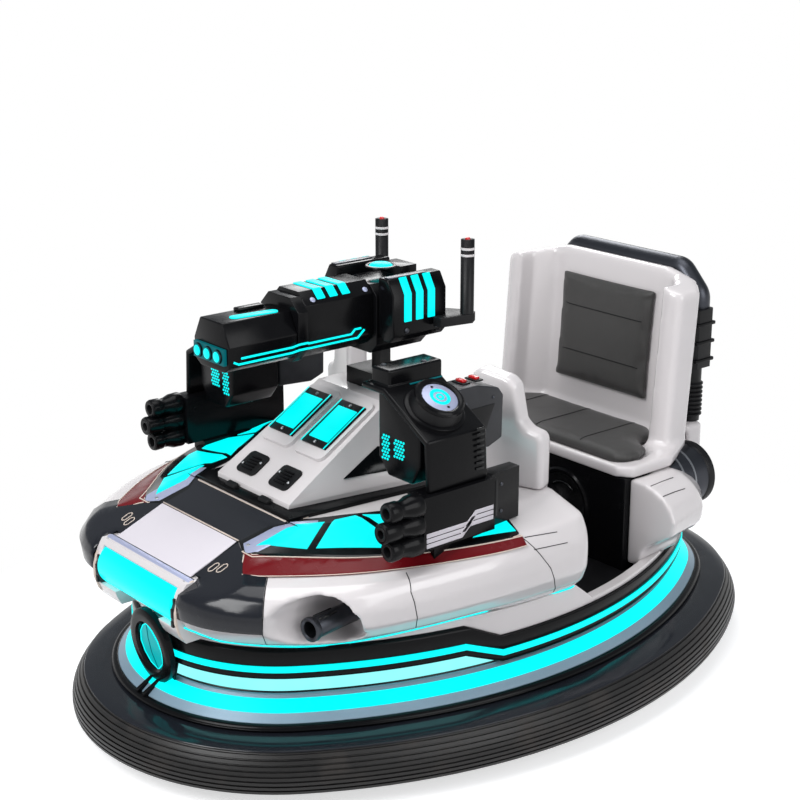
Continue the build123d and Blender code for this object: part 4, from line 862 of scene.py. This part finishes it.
def cowl_slab(x, along, wide, long, low, high, edge):
    """A plate on the cowl's face, from one height off it to another."""
    spots = []
    for across, up in ((0.5, 0.5), (-0.5, 0.5), (-0.5, -0.5), (0.5, -0.5)):
        spots.append(on_cowl(x + across * wide, along + up * long, low))
    push = Vector(on_cowl(0, 0, high)) - Vector(on_cowl(0, 0, low))
    return slab(spots, push, edge)


def disc(spot, axis, radius, thick, steps=24):
    """A low domed button or bolt head on a surface."""
    profile = [
        (0, thick), (radius * 0.7, thick * 0.92), (radius * 0.94, thick * 0.6), (radius, 0),
        (radius, -1.5), (0, -1.5),
    ]
    return turned(profile, spot, axis, steps)


class CAR_OT_cowl(bpy.types.Operator):
    """Adds the cowl's screens, vents, clips and side inlets"""

    bl_idname = "bumper_car.cowl"
    bl_label = "Add the cowl's screens and vents"

    def execute(self, context):
        face = Vector((0, -COWL_SLOPE[1], COWL_SLOPE[0]))
        screen = cowl_slab(SCREEN_X + 2, SCREEN_AT, 64, 96, 13.0, 15.6, 0.8)
        pair(screen, "cowl_screens", "screen")
        for count, side in enumerate((-39.5, 39.5)):
            line = rod(
                [
                    on_cowl(SCREEN_X + side, SCREEN_AT - 66, 14.2),
                    on_cowl(SCREEN_X + side, SCREEN_AT + 66, 14.2),
                ],
                1.3,
            )
            pair(line, f"screen_edge_light_{count + 1}", "screen")
        for count, along in enumerate((SCREEN_AT - 57, SCREEN_AT + 57)):
            bolt = disc(on_cowl(SCREEN_X, along, 14), face, 3.6, 2.4, 16)
            pair(bolt, f"screen_bolts_{count + 1}", "steel")
        for row in range(5):
            slat = cowl_slab(VENT_X, VENT_AT - 16 + 8 * row, 36, 4.2, 4, 7.2, 1.2)
            pair(slat, f"vent_slat_{row + 1}", "black")
        for count, (across, along) in enumerate(((-24, 8), (24, -8))):
            bolt = disc(on_cowl(VENT_X + across, VENT_AT + along, 5), face, 3.4, 2.0, 16)
            pair(bolt, f"vent_bolts_{count + 1}", "steel")
        clip = oblong((43, -491, 520), (77, -491, 533), (0, -13, -4), 2.5, 3)
        pair(clip, "cowl_clips", "moulding")
        inlet = slab(
            [(141.5, -352, 561), (137, -254, 612), (146, -208, 603), (169, -150, 556)],
            (2.4, -0.3, 0.8), 0.8,
        )
        pair(inlet, "cowl_inlets", "frame")
        return {"FINISHED"}


# ---- turret ------------------------------------------------------------------------------

BREECH_BARS = (-344, -311, -278)
POD_BARS = (-165, -132, -99)
GRIP_X, GRIP_Y = 146.0, -7.0
GRIP_END = 1031.0


class CAR_OT_turret(bpy.types.Operator):
    """Adds the gun's lamps, light lines and bolts, and the grips' bands"""

    bl_idname = "bumper_car.turret"
    bl_label = "Add the turret's lights and grips"

    def execute(self, context):
        line_radius = context.scene.size_settings.light_line / MM
        grips = softened("turret_handles", "moulding", 2.0 * MM, 2)
        pared(grips, (0, 0, GRIP_END), (0, 0, 1))
        for count, x in enumerate((-35, 0, 35)):
            lamp_disc = disc((x, -586, 850), (0, -1, 0), 13.0, 5.5, 32)
            fitted(lamp_disc, f"gun_lamp_{count + 1}", "cyan", "turret")
            rim = turned(
                [(13.2, 0), (13.2, 4), (14.8, 4), (15.4, 0)], (x, -585, 850), (0, -1, 0), 32
            )
            fitted(rim, f"gun_lamp_rim_{count + 1}", "black", "turret")
        ends = []
        for side, middle in ((1, -440), (-1, -528)):
            for step in range(7):
                angle = math.radians(-90 + 30 * step) if side > 0 else math.radians(90 + 30 * step)
                across, along = 11.0 * math.sin(angle), 11.0 * math.cos(angle)
                ends.append((20 + 0.12 * (middle + 483) - across, middle + along * 1.0, 917.5))
        top = slab(ends, (0, 0, 3.2), 0.8)
        fitted(top, "gun_top_light", "cyan", "turret")
        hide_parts("turret_lights")
        block = oblong((-38, -496, 917), (-18, -430, 917), (0, 0, 8), 3, 3)
        fitted(block, "gun_top_block", "black", "turret")
        for count, start in enumerate(BREECH_BARS):
            side = [
                (-33, 951), (-33, 954.6), (35.5, 954.6), (54.5, 935.5), (51.5, 933), (33.5, 951)
            ]
            bar = slab([(x, start, z) for x, z in side], (0, 20, 0), 0.8)
            fitted(bar, f"breech_light_{count + 1}", "cyan", "turret")
        for count, y in enumerate((-356, -216)):
            bolt = disc((50.5, y, 934), (0.72, 0, 0.7), 6.5, 3.0)
            pair(bolt, f"breech_bolts_{count + 1}", "lilac", "turret")
        upper = (
            (64.5, -548, 846), (64.5, -420, 846), (68.5, -405, 850), (68.5, -382, 850),
            (61.5, -377, 846), (61.5, -262, 846), (61.5, -252, 855), (61.5, -236, 855),
        )
        lower = (
            (63.5, -566, 840), (63.0, -554, 834), (63.0, -420, 834), (68.0, -405, 838),
            (68.0, -382, 838), (60.5, -377, 835), (60.5, -244, 835), (60.5, -226, 850),
        )
        for name, points in (("upper", upper), ("lower", lower)):
            pair(rod(points, line_radius), f"gun_{name}_line", "cyan", "turret")
        for count, start in enumerate(POD_BARS):
            side = [(119, 868), (124, 868), (124, 929), (104.5, 963), (101, 960), (119, 928)]
            bar = slab([(x, start, z) for x, z in side], (0, 19, 0), 0.8)
            pair(bar, f"pod_light_{count + 1}", "cyan", "turret")
        for count, y in enumerate((-158, -74)):
            bolt = disc((121, y, 848), (1, 0, 0), 6.5, 3.0)
            pair(bolt, f"pod_bolts_{count + 1}", "gunmetal", "turret")
        rail = oblong((84, -190, 960.5), (100, -84, 960.5), (0, 0, 3))
        pair(rail, "pod_top_rails", "gunmetal", "turret")
        dome = turned(
            [(0, 9), (10, 8.4), (19, 6.2), (25, 2.6), (27, 0), (27, -1), (0, -1)], (0, -130, 965),
            (0, 0, 1),
        )
        fitted(dome, "turret_dome", "cyan", "turret")
        rim = turned(
            [(27, 2.4), (30, 3.4), (33.5, 2.4), (34.5, -0.5), (27, -0.5)], (0, -130, 965),
            (0, 0, 1),
        )
        fitted(rim, "turret_dome_rim", "black", "turret")
        for count, height in enumerate((994, 1008)):
            band = turned(
                [(14.6, 0), (15.9, 0.8), (15.9, 5.2), (14.6, 6)], (GRIP_X, GRIP_Y, height),
                (0, 0, 1), 32,
            )
            pair(band, f"grip_band_{count + 1}", "white", "turret")
        button = turned(
            [(0, 4.6), (3.4, 4.2), (5.4, 2.6), (6, 0), (6, -1), (0, -1)],
            (GRIP_X, GRIP_Y, GRIP_END), (0, 0, 1), 24,
        )
        pair(button, "grip_buttons", "red", "turret")
        return {"FINISHED"}


# ---- side guns and saddles ---------------------------------------------------------------

KNOB_FOOT = (366.0, -292.5, 759.9)
KNOB_AXIS = (0.4975, 0.0, 0.8675)
BARRELS = ((599, -472), (560, -486), (519, -470))
BARREL_X = 431.0


CELL_PITCH = 8.0


def grille(spot, columns, rows):
    """Rows of small six-sided cells on a face that looks forwards."""
    bpy.ops.mesh.primitive_circle_add(
        vertices=6, radius=2.9 * MM, fill_type="NGON", location=Vector(spot) * MM,
        rotation=(math.radians(90), 0, 0),
    )
    cell = bpy.context.object
    bpy.ops.object.transform_apply(location=True, rotation=True, scale=True)
    step = CELL_PITCH * MM
    with shaping(cell):
        bpy.ops.mesh.extrude_region_move(TRANSFORM_OT_translate={"value": (0, -1.6 * MM, 0)})
        bpy.ops.mesh.select_all(action="SELECT")
        bpy.ops.mesh.duplicate_move(TRANSFORM_OT_translate={"value": (step / 2, 0, step * 0.87)})
    outward(cell)
    for count, shift in ((columns, (step, 0, 0)), (rows, (0, 0, 1.74 * step))):
        apply_modifier(
            cell, "ARRAY", count=count, use_relative_offset=False, use_constant_offset=True,
            constant_offset_displace=shift,
        )
    return cell


class CAR_OT_side_guns(bpy.types.Operator):
    """Adds the knobs, louvres, grilles, stripes and barrel shrouds at the sides"""

    bl_idname = "bumper_car.side_guns"
    bl_label = "Add the side guns' parts"

    def execute(self, context):
        flange = turned(
            [(50, 6), (61, 5.5), (64.5, 3.5), (65.5, -1), (50, -1)], KNOB_FOOT, KNOB_AXIS, 56
        )
        pair(flange, "knob_flanges", "black")
        lip = turned(
            [
                (49.5, 24), (53, 29), (52.5, 35), (49, 37.8), (43, 37.6), (39.5, 35), (38.5, 31),
                (45, 24),
            ],
            KNOB_FOOT, KNOB_AXIS, 56,
        )
        pair(lip, "knob_lips", "black")
        plate = turned(
            [(0, 34.6), (36.5, 34.6), (38.3, 33.4), (38.3, 31), (0, 31)], KNOB_FOOT, KNOB_AXIS, 56
        )
        pair(plate, "knob_discs", "lilac")
        for name, inner, outer in (("outer", 15.0, 22.0), ("inner", 4.0, 9.0)):
            ring = turned(
                [(inner, 34), (inner, 35.8), (outer, 35.8), (outer, 34)], KNOB_FOOT, KNOB_AXIS, 40
            )
            pair(ring, f"knob_{name}_rings", "cyan")
        middle = Vector(KNOB_FOOT) + Vector(KNOB_AXIS) * 34.4
        for count, side in enumerate((-29.5, 29.5)):
            dot = disc(middle + Vector((0.8675, 0, -0.4975)) * side, KNOB_AXIS, 3.2, 1.6, 16)
            pair(dot, f"knob_dots_{count + 1}", "moulding")
        for row in range(8):
            low = 638 + 12 * row
            slot = oblong((437.4, -243, low), (437.4, -222, low + 5), (1.6, 0, 0), 0.5)
            pair(slot, f"saddle_slot_{row + 1}", "frame")
        light = rod([(299.5, -300, 798.5), (299.5, -214, 798.5)], 1.7)
        pair(light, "saddle_block_light", "teal")
        for count, (x, y) in enumerate(((252, -330), (284, -250))):
            pair(disc((x, y, 834), (0, 0, 1), 6.0, 2.6), f"saddle_bolts_{count + 1}", "gunmetal")
        pair(grille((277, -352.6, 648), 3, 4), "pod_grille_inner", "screen")
        pair(grille((315, -352.6, 660), 4, 3), "pod_grille_outer", "screen")
        for row in range(3):
            low, bend = 509 + 11.0 * row, -290 + 9 * row
            corners = (
                (-384, low), (bend, low), (bend + 22, low + 19), (-205, low + 19),
                (-205, low + 28), (bend + 18, low + 28), (bend - 4, low + 9), (-384, low + 9),
            )
            stripe = slab([(449.5, y, z) for y, z in corners], (1.4, 0, 0), 0.3)
            pair(stripe, f"box_stripe_{row + 1}", "plate")
        for count, z in enumerate((540, 598)):
            pair(
                disc((450, -183, z), (1, 0, 0), 4.0, 2.0, 16), f"box_bolts_{count + 1}", "gunmetal"
            )
        collar = oblong((449.5, -200, 532), (449.5, -194, 610), (1.2, 0, 0), 0.5)
        pair(collar, "box_joint", "frame")
        for row, (height, muzzle) in enumerate(BARRELS):
            reach = -390 - muzzle
            shroud = turned(
                [
                    (17, 0), (25, 0), (26, 4), (25, 26), (20, 40), (19, 52), (21.5, 56),
                    (22, reach - 6), (20, reach - 1), (15, reach - 1),
                ],
                (BARREL_X, -390, height), (0, -1, 0), 28, 0.8,
            )
            pair(shroud, f"barrel_shroud_{row + 1}", "black")
        return {"FINISHED"}


# ---- badge, nozzles and ring -------------------------------------------------------------

BADGE_MIDDLE = (0.0, -750.0, 247.0)
BADGE_FACE = (0.0, -0.989, -0.148)
NOZZLE_FRONT = (366.0, -612.0, 373.0)
NOZZLE_ALONG = (-0.1392, 0.9903, 0.0)


def on_badge(x, z, depth=0.0):
    """A point on the badge's leaning face, or behind it."""
    return (x, -750.0 + 0.15 * (247.0 - z) + depth, z)


class CAR_OT_front(bpy.types.Operator):
    """Adds the badge's ring and lens, the nozzle muzzles and the ring's dark line"""

    bl_idname = "bumper_car.front"
    bl_label = "Add the badge and the nozzle muzzles"

    def execute(self, context):
        ring = turned(
            [(47, -8), (47, 4), (51, 8.5), (63, 9.5), (70, 8), (74, 4), (74, -8)], BADGE_MIDDLE,
            BADGE_FACE, 56,
        )
        with shaping(ring):
            bpy.ops.transform.resize(value=(1, 1, 1.15), center_override=Vector(BADGE_MIDDLE) * MM)
        fitted(ring, "badge_ring", "black")
        back = slab(
            [
                (x, -731, z)
                for x, z in (
                    (34, 314), (62, 270), (66, 225), (52, 180), (28, 158), (-28, 158), (-52, 180),
                    (-66, 225), (-62, 270), (-34, 314),
                )
            ],
            (0, 3, 0), 0.5,
        )
        fitted(back, "badge_back", "moulding")
        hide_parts("front_badge")
        spots = [
            (-4, 298), (14, 287), (30, 268), (39, 244), (35, 216), (12, 194), (-14, 202),
            (-32, 222), (-40, 246), (-34, 270), (-20, 288),
        ]
        lens = slab([on_badge(x, z, 3) for x, z in spots], (0, -5, 0), 1.2, 3)
        fitted(lens, "badge_lens", "lens")
        spots.append(spots[0])
        fitted(rod([on_badge(x, z, -2.4) for x, z in spots], 1.3), "badge_lens_rim", "cyan")
        fold = rod(
            [on_badge(x, z, -2.0) for x, z in ((-4, 294), (-8, 262), (-4, 228), (10, 197))], 1.2
        )
        fitted(fold, "badge_lens_fold", "teal")
        foot = slab(
            [
                (8, y, z)
                for y, z in ((-736, 176), (-752, 170), (-786, 152), (-786, 140), (-736, 150))
            ],
            (9, 0, 0), 2.0, 3,
        )
        pair(foot, "badge_feet", "black")
        muzzle = turned(
            [(17.4, -1), (21, -3), (25, -1), (25.5, 6), (24, 11), (22, 12), (22, 5), (17.4, 5)],
            NOZZLE_FRONT, NOZZLE_ALONG, 40,
        )
        pair(muzzle, "nozzle_muzzles", "gunmetal")
        along = Vector(NOZZLE_ALONG)
        across = along.cross(Vector((0, 0, -1)))
        for count, angle in enumerate((-20, 25, 70, 115)):
            turn = math.radians(angle)
            out = across * math.cos(turn) + Vector((0, 0, 1)) * math.sin(turn)
            start = Vector(NOZZLE_FRONT) + out * 21.4
            slot = rod([start + along * 18, start + along * 66], 2.8)
            pair(slot, f"nozzle_slot_{count + 1}", "frame")
        fitted(level_line("glow_panel", 192.0, 2.4), "ring_dark_line", "frame")
        for count, (y, z) in enumerate(((-185, 742), (-108, 742))):
            pair(
                disc((342, y, z), (1, 0, 0), 3.6, 2.0, 16), f"switch_bolts_{count + 1}", "gunmetal"
            )
        panel = slab(
            [(341.5, y, z) for y, z in ((-186, 728), (-104, 728), (-132, 668), (-160, 668))],
            (2, 0, 0), 1,
        )
        pair(panel, "switch_panels", "moulding")
        for count, y in enumerate((-176, -140)):
            base = oblong((286, y, 775), (322, y + 22, 775), (0, 0, 4), 1.5)
            pair(base, f"switch_base_{count + 1}", "moulding")
            key = oblong((292, y + 5, 778), (316, y + 17, 778), (0, 0, 6), 2, 3)
            pair(key, f"switch_key_{count + 1}", "red")
        return {"FINISHED"}


# ---- seat --------------------------------------------------------------------------------


CUSHION_SHRINK, CUSHION_VOXEL = 3.0, 6.0
CLOTH_PRESSURE, CLOTH_FRAMES = 4.0, 20


def stuffed(node, name):
    """A padded copy of a CAD solid, swollen by a cloth simulation and held to a cap."""
    cap = bpy.context.scene.size_settings.puff
    pad = copy_of(node, name)
    with shaping(pad):
        bpy.ops.transform.shrink_fatten(value=-CUSHION_SHRINK * MM, use_even_offset=True)
    apply_modifier(pad, "REMESH", mode="VOXEL", voxel_size=CUSHION_VOXEL * MM)
    rest = [corner.co.copy() for corner in pad.data.vertices]
    take(pad)
    bpy.ops.object.modifier_add(type="CLOTH")
    cloth = pad.modifiers[-1]
    cloth.settings.use_pressure = True
    cloth.settings.uniform_pressure_force = CLOTH_PRESSURE
    cloth.settings.effector_weights.gravity = 0.0
    for step in range(1, CLOTH_FRAMES + 1):
        bpy.context.scene.frame_set(step)
    bpy.ops.object.modifier_apply(modifier=cloth.name)
    bpy.context.scene.frame_set(1)
    for corner, start in zip(pad.data.vertices, rest):
        move = corner.co - start
        if move.length > cap:
            corner.co = start + move.normalized() * cap
    apply_modifier(pad, "SMOOTH", factor=0.6, iterations=6)
    apply_modifier(pad, "SUBSURF", levels=1)
    smooth(pad, 80)
    clear_selection()
    wear(pad, "hide")
    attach(pad, "root")
    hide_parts(node)
    return pad


class CAR_OT_seat(bpy.types.Operator):
    """Adds the stuffed cushions with their seams"""

    bl_idname = "bumper_car.seat"
    bl_label = "Add the seat cushions"

    def execute(self, context):
        low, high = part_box("seat_pad")
        seat = stuffed("seat_pad", "seat_cushion")
        top = 1000 * high[2] + 6
        front, rear = 1000 * low[1] + 22, 1000 * high[1] - 22
        for count, x in enumerate((0, 150)):
            line = seam(((x, front, top), (x, rear, top)), seat, 1.3, 0.0, 24)
            line = both_sides(line) if x else line
            fitted(line, f"seat_seam_{count + 1}", "moulding")
        low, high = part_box("back_pad")
        back = stuffed("back_pad", "back_cushion")
        front = 1000 * low[1] - 10
        for count, share in enumerate((0.3, 0.7)):
            height = 1000 * (low[2] + share * (high[2] - low[2]))
            line = seam(((-132, front, height), (132, front, height)), back, 1.3, 0.0, 24)
            fitted(line, f"back_seam_{count + 1}", "moulding")
        return {"FINISHED"}


# ---- rear --------------------------------------------------------------------------------

HOSE = (227.0, 662.0)
DRUM = (292.0, 398.0, 74.0)
SPEAKER = (141.0, 318.0, 345.0)


def arc(middle, radius, start, end):
    """Points of an arc that faces forwards, in degrees from the right."""
    steps = 10
    spots = []
    for step in range(steps + 1):
        turn = math.radians(start + (end - start) * step / steps)
        spots.append(
            (middle[0] + radius * math.cos(turn), middle[1], middle[2] + radius * math.sin(turn))
        )
    return spots


class CAR_OT_rear(bpy.types.Operator):
    """Adds the bellows, the drums' rings, the speakers' rims and the rear seams"""

    bl_idname = "bumper_car.rear"
    bl_label = "Add the parts behind the seat"

    def execute(self, context):
        folds = [(20, 0)]
        for row in range(8):
            low = 3 + 11 * row
            folds += [(25, low), (30, low + 3), (30, low + 6), (25, low + 9)]
        folds.append((20, 96))
        bellows = turned(folds, (HOSE[0], HOSE[1], 512), (0, 0, 1), 32)
        pair(bellows, "hose_bellows", "moulding")
        for count, height in enumerate((655, 700, 745)):
            inner = (HOSE[0] - 20, HOSE[1] - 29, height)
            outer = (HOSE[0] + 37, HOSE[1] + 37, height)
            band = oblong(inner, outer, (0, 0, 9), 2.5, 3)
            pair(band, f"tank_band_{count + 1}", "black")
        x, z, radius = DRUM
        for count, start in enumerate((496, 532)):
            ring = turned(
                [(radius - 2, 0), (radius + 1.6, 0.8), (radius + 1.6, 5.2), (radius - 2, 6)],
                (x, start, z), (0, 1, 0), 64,
            )
            pair(ring, f"drum_ring_{count + 1}", "alloy")
        rim = turned(
            [(52, 112), (74, 110), (76.5, 114), (76.5, 131), (73, 134.5), (56, 134.5), (52, 131)],
            (x, 470, z), (0, 1, 0), 64,
        )
        pair(rim, "drum_rims", "moulding")
        core = turned(
            [
                (0, 133), (14, 131), (20, 124), (36, 124), (38, 128), (42, 128), (44, 124),
                (54, 124), (54, 120), (0, 120),
            ],
            (x, 470, z), (0, 1, 0), 48,
        )
        pair(core, "drum_cores", "gunmetal")
        rim = turned(
            [(72, -1), (72, 4), (76, 8.5), (82, 8.8), (86.5, 5), (87, -1)], SPEAKER, (0, -1, 0), 64
        )
        pair(rim, "speaker_rims", "black")
        for count, (start, end) in enumerate(((48, 132), (228, 312))):
            slot = rod(arc((SPEAKER[0], SPEAKER[1] - 3, SPEAKER[2]), 50, start, end), 3.4)
            pair(slot, f"speaker_slot_{count + 1}", "frame")
        for count, points in enumerate(
            (
                ((390, 345, 449), (384, 392, 448), (381, 432, 447)),
                ((430, 343, 436), (424, 388, 434), (418, 432, 430)),
            )
        ):
            pair(seam(points, "fenders", 1.0, 0.0, 8), f"fender_seam_{count + 1}", "moulding")
        for node, name, (half, y, low, high) in (
            ("seat_shell", "seat_back_seam", (175, 660, 560, 770)),
            ("rear_fairing", "fairing_seam", (205, 706, 330, 480)),
        ):
            corners = ((-half, low), (half, low), (half, high), (-half, high), (-half, low))
            line = seam([(x, y, z) for x, z in corners], node, 1.2, 0.0, 10)
            fitted(line, name, "moulding")
        for row in range(4):
            low = 344 + 12 * row
            vent = oblong((-80, 698, low), (80, 698, low + 6), (0, 4.2, 0), 0.8)
            fitted(vent, f"fairing_vent_{row + 1}", "frame")
        return {"FINISHED"}


class CAR_OT_stage(bpy.types.Operator):
    """Adds the floor, the lights and the camera"""

    bl_idname = "bumper_car.stage"
    bl_label = "Add the stage"

    def execute(self, context):
        clear_selection()
        bpy.ops.mesh.primitive_circle_add(
            vertices=96, radius=14, fill_type="NGON", location=(0, 0, 0)
        )
        floor = context.object
        floor.name = "studio_floor"
        floor.data.materials.append(floor_paint())
        add_lights()
        add_camera()
        return {"FINISHED"}


def seen_ray(paint):
    """1 for rays that show the background: camera, glossy and transmission."""
    rays = []
    for kind in ("Is Camera Ray", "Is Glossy Ray", "Is Transmission Ray"):
        rays.append(paint.node("ShaderNodeLightPath", out=kind))
    return rays[0].math("MAXIMUM", rays[1]).math("MAXIMUM", rays[2])


def floor_paint():
    """Near the car the floor takes its shadow; further out it is plain white."""
    paint = Paint("pale_floor")
    plain = paint.node("ShaderNodeBsdfDiffuse", sockets={"Color": (0.6, 0.6, 0.61, 1)})
    glow = paint.node("ShaderNodeEmission", sockets={"Color": (1, 1, 1, 1), "Strength": 0.62})
    white = paint.node("ShaderNodeEmission", sockets={"Color": (1, 1, 1, 1), "Strength": 1.0})
    both = paint.node("ShaderNodeAddShader", sockets={0: plain, 1: glow})
    where = paint.place(scale=(1.0, 0.72, 1.0))
    reach = paint.node("ShaderNodeVectorMath", {"operation": "LENGTH"}, {0: where}, out="Value")
    far = paint.ramp(reach, 0.62, 1.15)
    lit = paint.node("ShaderNodeMixShader", sockets={0: far, 1: both, 2: white})
    shown = paint.node("ShaderNodeMixShader", sockets={0: seen_ray(paint), 1: plain, 2: lit})
    return paint.done(shown)


def add_lights():
    world = bpy.data.worlds.new("studio_world")
    bpy.context.scene.world = world
    world.use_nodes = True
    tree = world.node_tree
    tree.nodes.clear()
    paint = Paint.__new__(Paint)
    paint.tree = tree
    direction = paint.node("ShaderNodeTexCoord", out="Generated")
    height = paint.node("ShaderNodeSeparateXYZ", sockets={0: direction}, out="Z")
    low = 1.0 - paint.ramp(height, 0.06, 0.3)
    sky = paint.node(
        "ShaderNodeBackground", sockets={"Color": (0.9, 0.95, 1, 1), "Strength": 0.34}
    )
    back = paint.node("ShaderNodeBackground", sockets={"Color": (1, 1, 1, 1), "Strength": 1.0})
    both = paint.node("ShaderNodeMixShader", sockets={0: seen_ray(paint) * low, 1: sky, 2: back})
    paint.node("ShaderNodeOutputWorld", sockets={"Surface": both})
    lamps = (
        ("key", (0.4, -3.6, 3.4), 2.2, 150.0), ("fill", (3.6, 0.4, 2.2), 2.4, 60.0),
        ("rim", (-3.0, 2.6, 3.0), 2.0, 80.0), ("top", (0.0, 0.0, 4.2), 2.6, 60.0),
    )
    target = Vector((0.0, 0.0, 0.45))
    for name, spot, size, power in lamps:
        light = bpy.data.lights.new(name, "AREA")
        light.shape = "SQUARE"
        light.size = size
        light.energy = power
        lamp_object = bpy.data.objects.new(name, light)
        bpy.context.scene.collection.objects.link(lamp_object)
        lamp_object.location = spot
        aim = target - Vector(spot)
        lamp_object.rotation_euler = aim.to_track_quat("-Z", "Y").to_euler()


SENSOR = 36.0
FOCUS_SHARE = 1657.0 / 800.0  # focal length in widths of the view
CAMERA_PLACE = (2.7395, -2.3723, 1.7813)
CAMERA_DIP, CAMERA_TURN = 17.62, 50.02


def add_camera():
    camera = bpy.data.cameras.new("camera")
    camera.sensor_width = SENSOR
    camera.lens = SENSOR * FOCUS_SHARE
    camera.clip_end = 60.0
    rig = bpy.data.objects.new("camera", camera)
    bpy.context.scene.collection.objects.link(rig)
    rig.location = CAMERA_PLACE
    rig.rotation_euler = (math.radians(90 - CAMERA_DIP), 0.0, math.radians(CAMERA_TURN))
    bpy.context.scene.camera = rig


class CAR_PT_panel(bpy.types.Panel):
    """Lists the car's sizes and colours, and a button for each step that adds its pieces"""

    bl_idname = "CAR_PT_panel"
    bl_label = "Bumper car"
    bl_space_type = "VIEW_3D"
    bl_region_type = "UI"
    bl_category = "Bumper car"

    def draw(self, context):
        scene = context.scene
        for group in (scene.shell_settings, scene.light_settings, scene.size_settings):
            box = self.layout.box()
            for name in group.bl_rna.properties.keys():
                if name not in {"rna_type", "name"}:
                    box.prop(group, name)
        for operator in OPERATORS:
            self.layout.operator(operator.bl_idname)


OPERATORS = (
    CAR_OT_carried_nodes, CAR_OT_soft_edges, CAR_OT_hull, CAR_OT_nose, CAR_OT_cowl, CAR_OT_turret,
    CAR_OT_side_guns, CAR_OT_front, CAR_OT_seat, CAR_OT_rear, CAR_OT_stage,
)
SETTINGS = {
    "shell_settings": ShellSettings, "light_settings": LightSettings, "size_settings": SizeSettings
}


def register():
    for group in SETTINGS.values():
        bpy.utils.register_class(group)
    for name, group in SETTINGS.items():
        setattr(bpy.types.Scene, name, PointerProperty(type=group))
    for each in (*OPERATORS, CAR_PT_panel):
        bpy.utils.register_class(each)


def unregister():
    for each in reversed((*OPERATORS, CAR_PT_panel)):
        bpy.utils.unregister_class(each)
    for name in SETTINGS:
        delattr(bpy.types.Scene, name)
    for group in SETTINGS.values():
        bpy.utils.unregister_class(group)


def main():
    register()
    for operator in OPERATORS:
        family, name = operator.bl_idname.split(".")
        getattr(getattr(bpy.ops, family), name)()
    bpy.context.scene.view_settings.view_transform = "Standard"


if __name__ == "__main__":
    main()
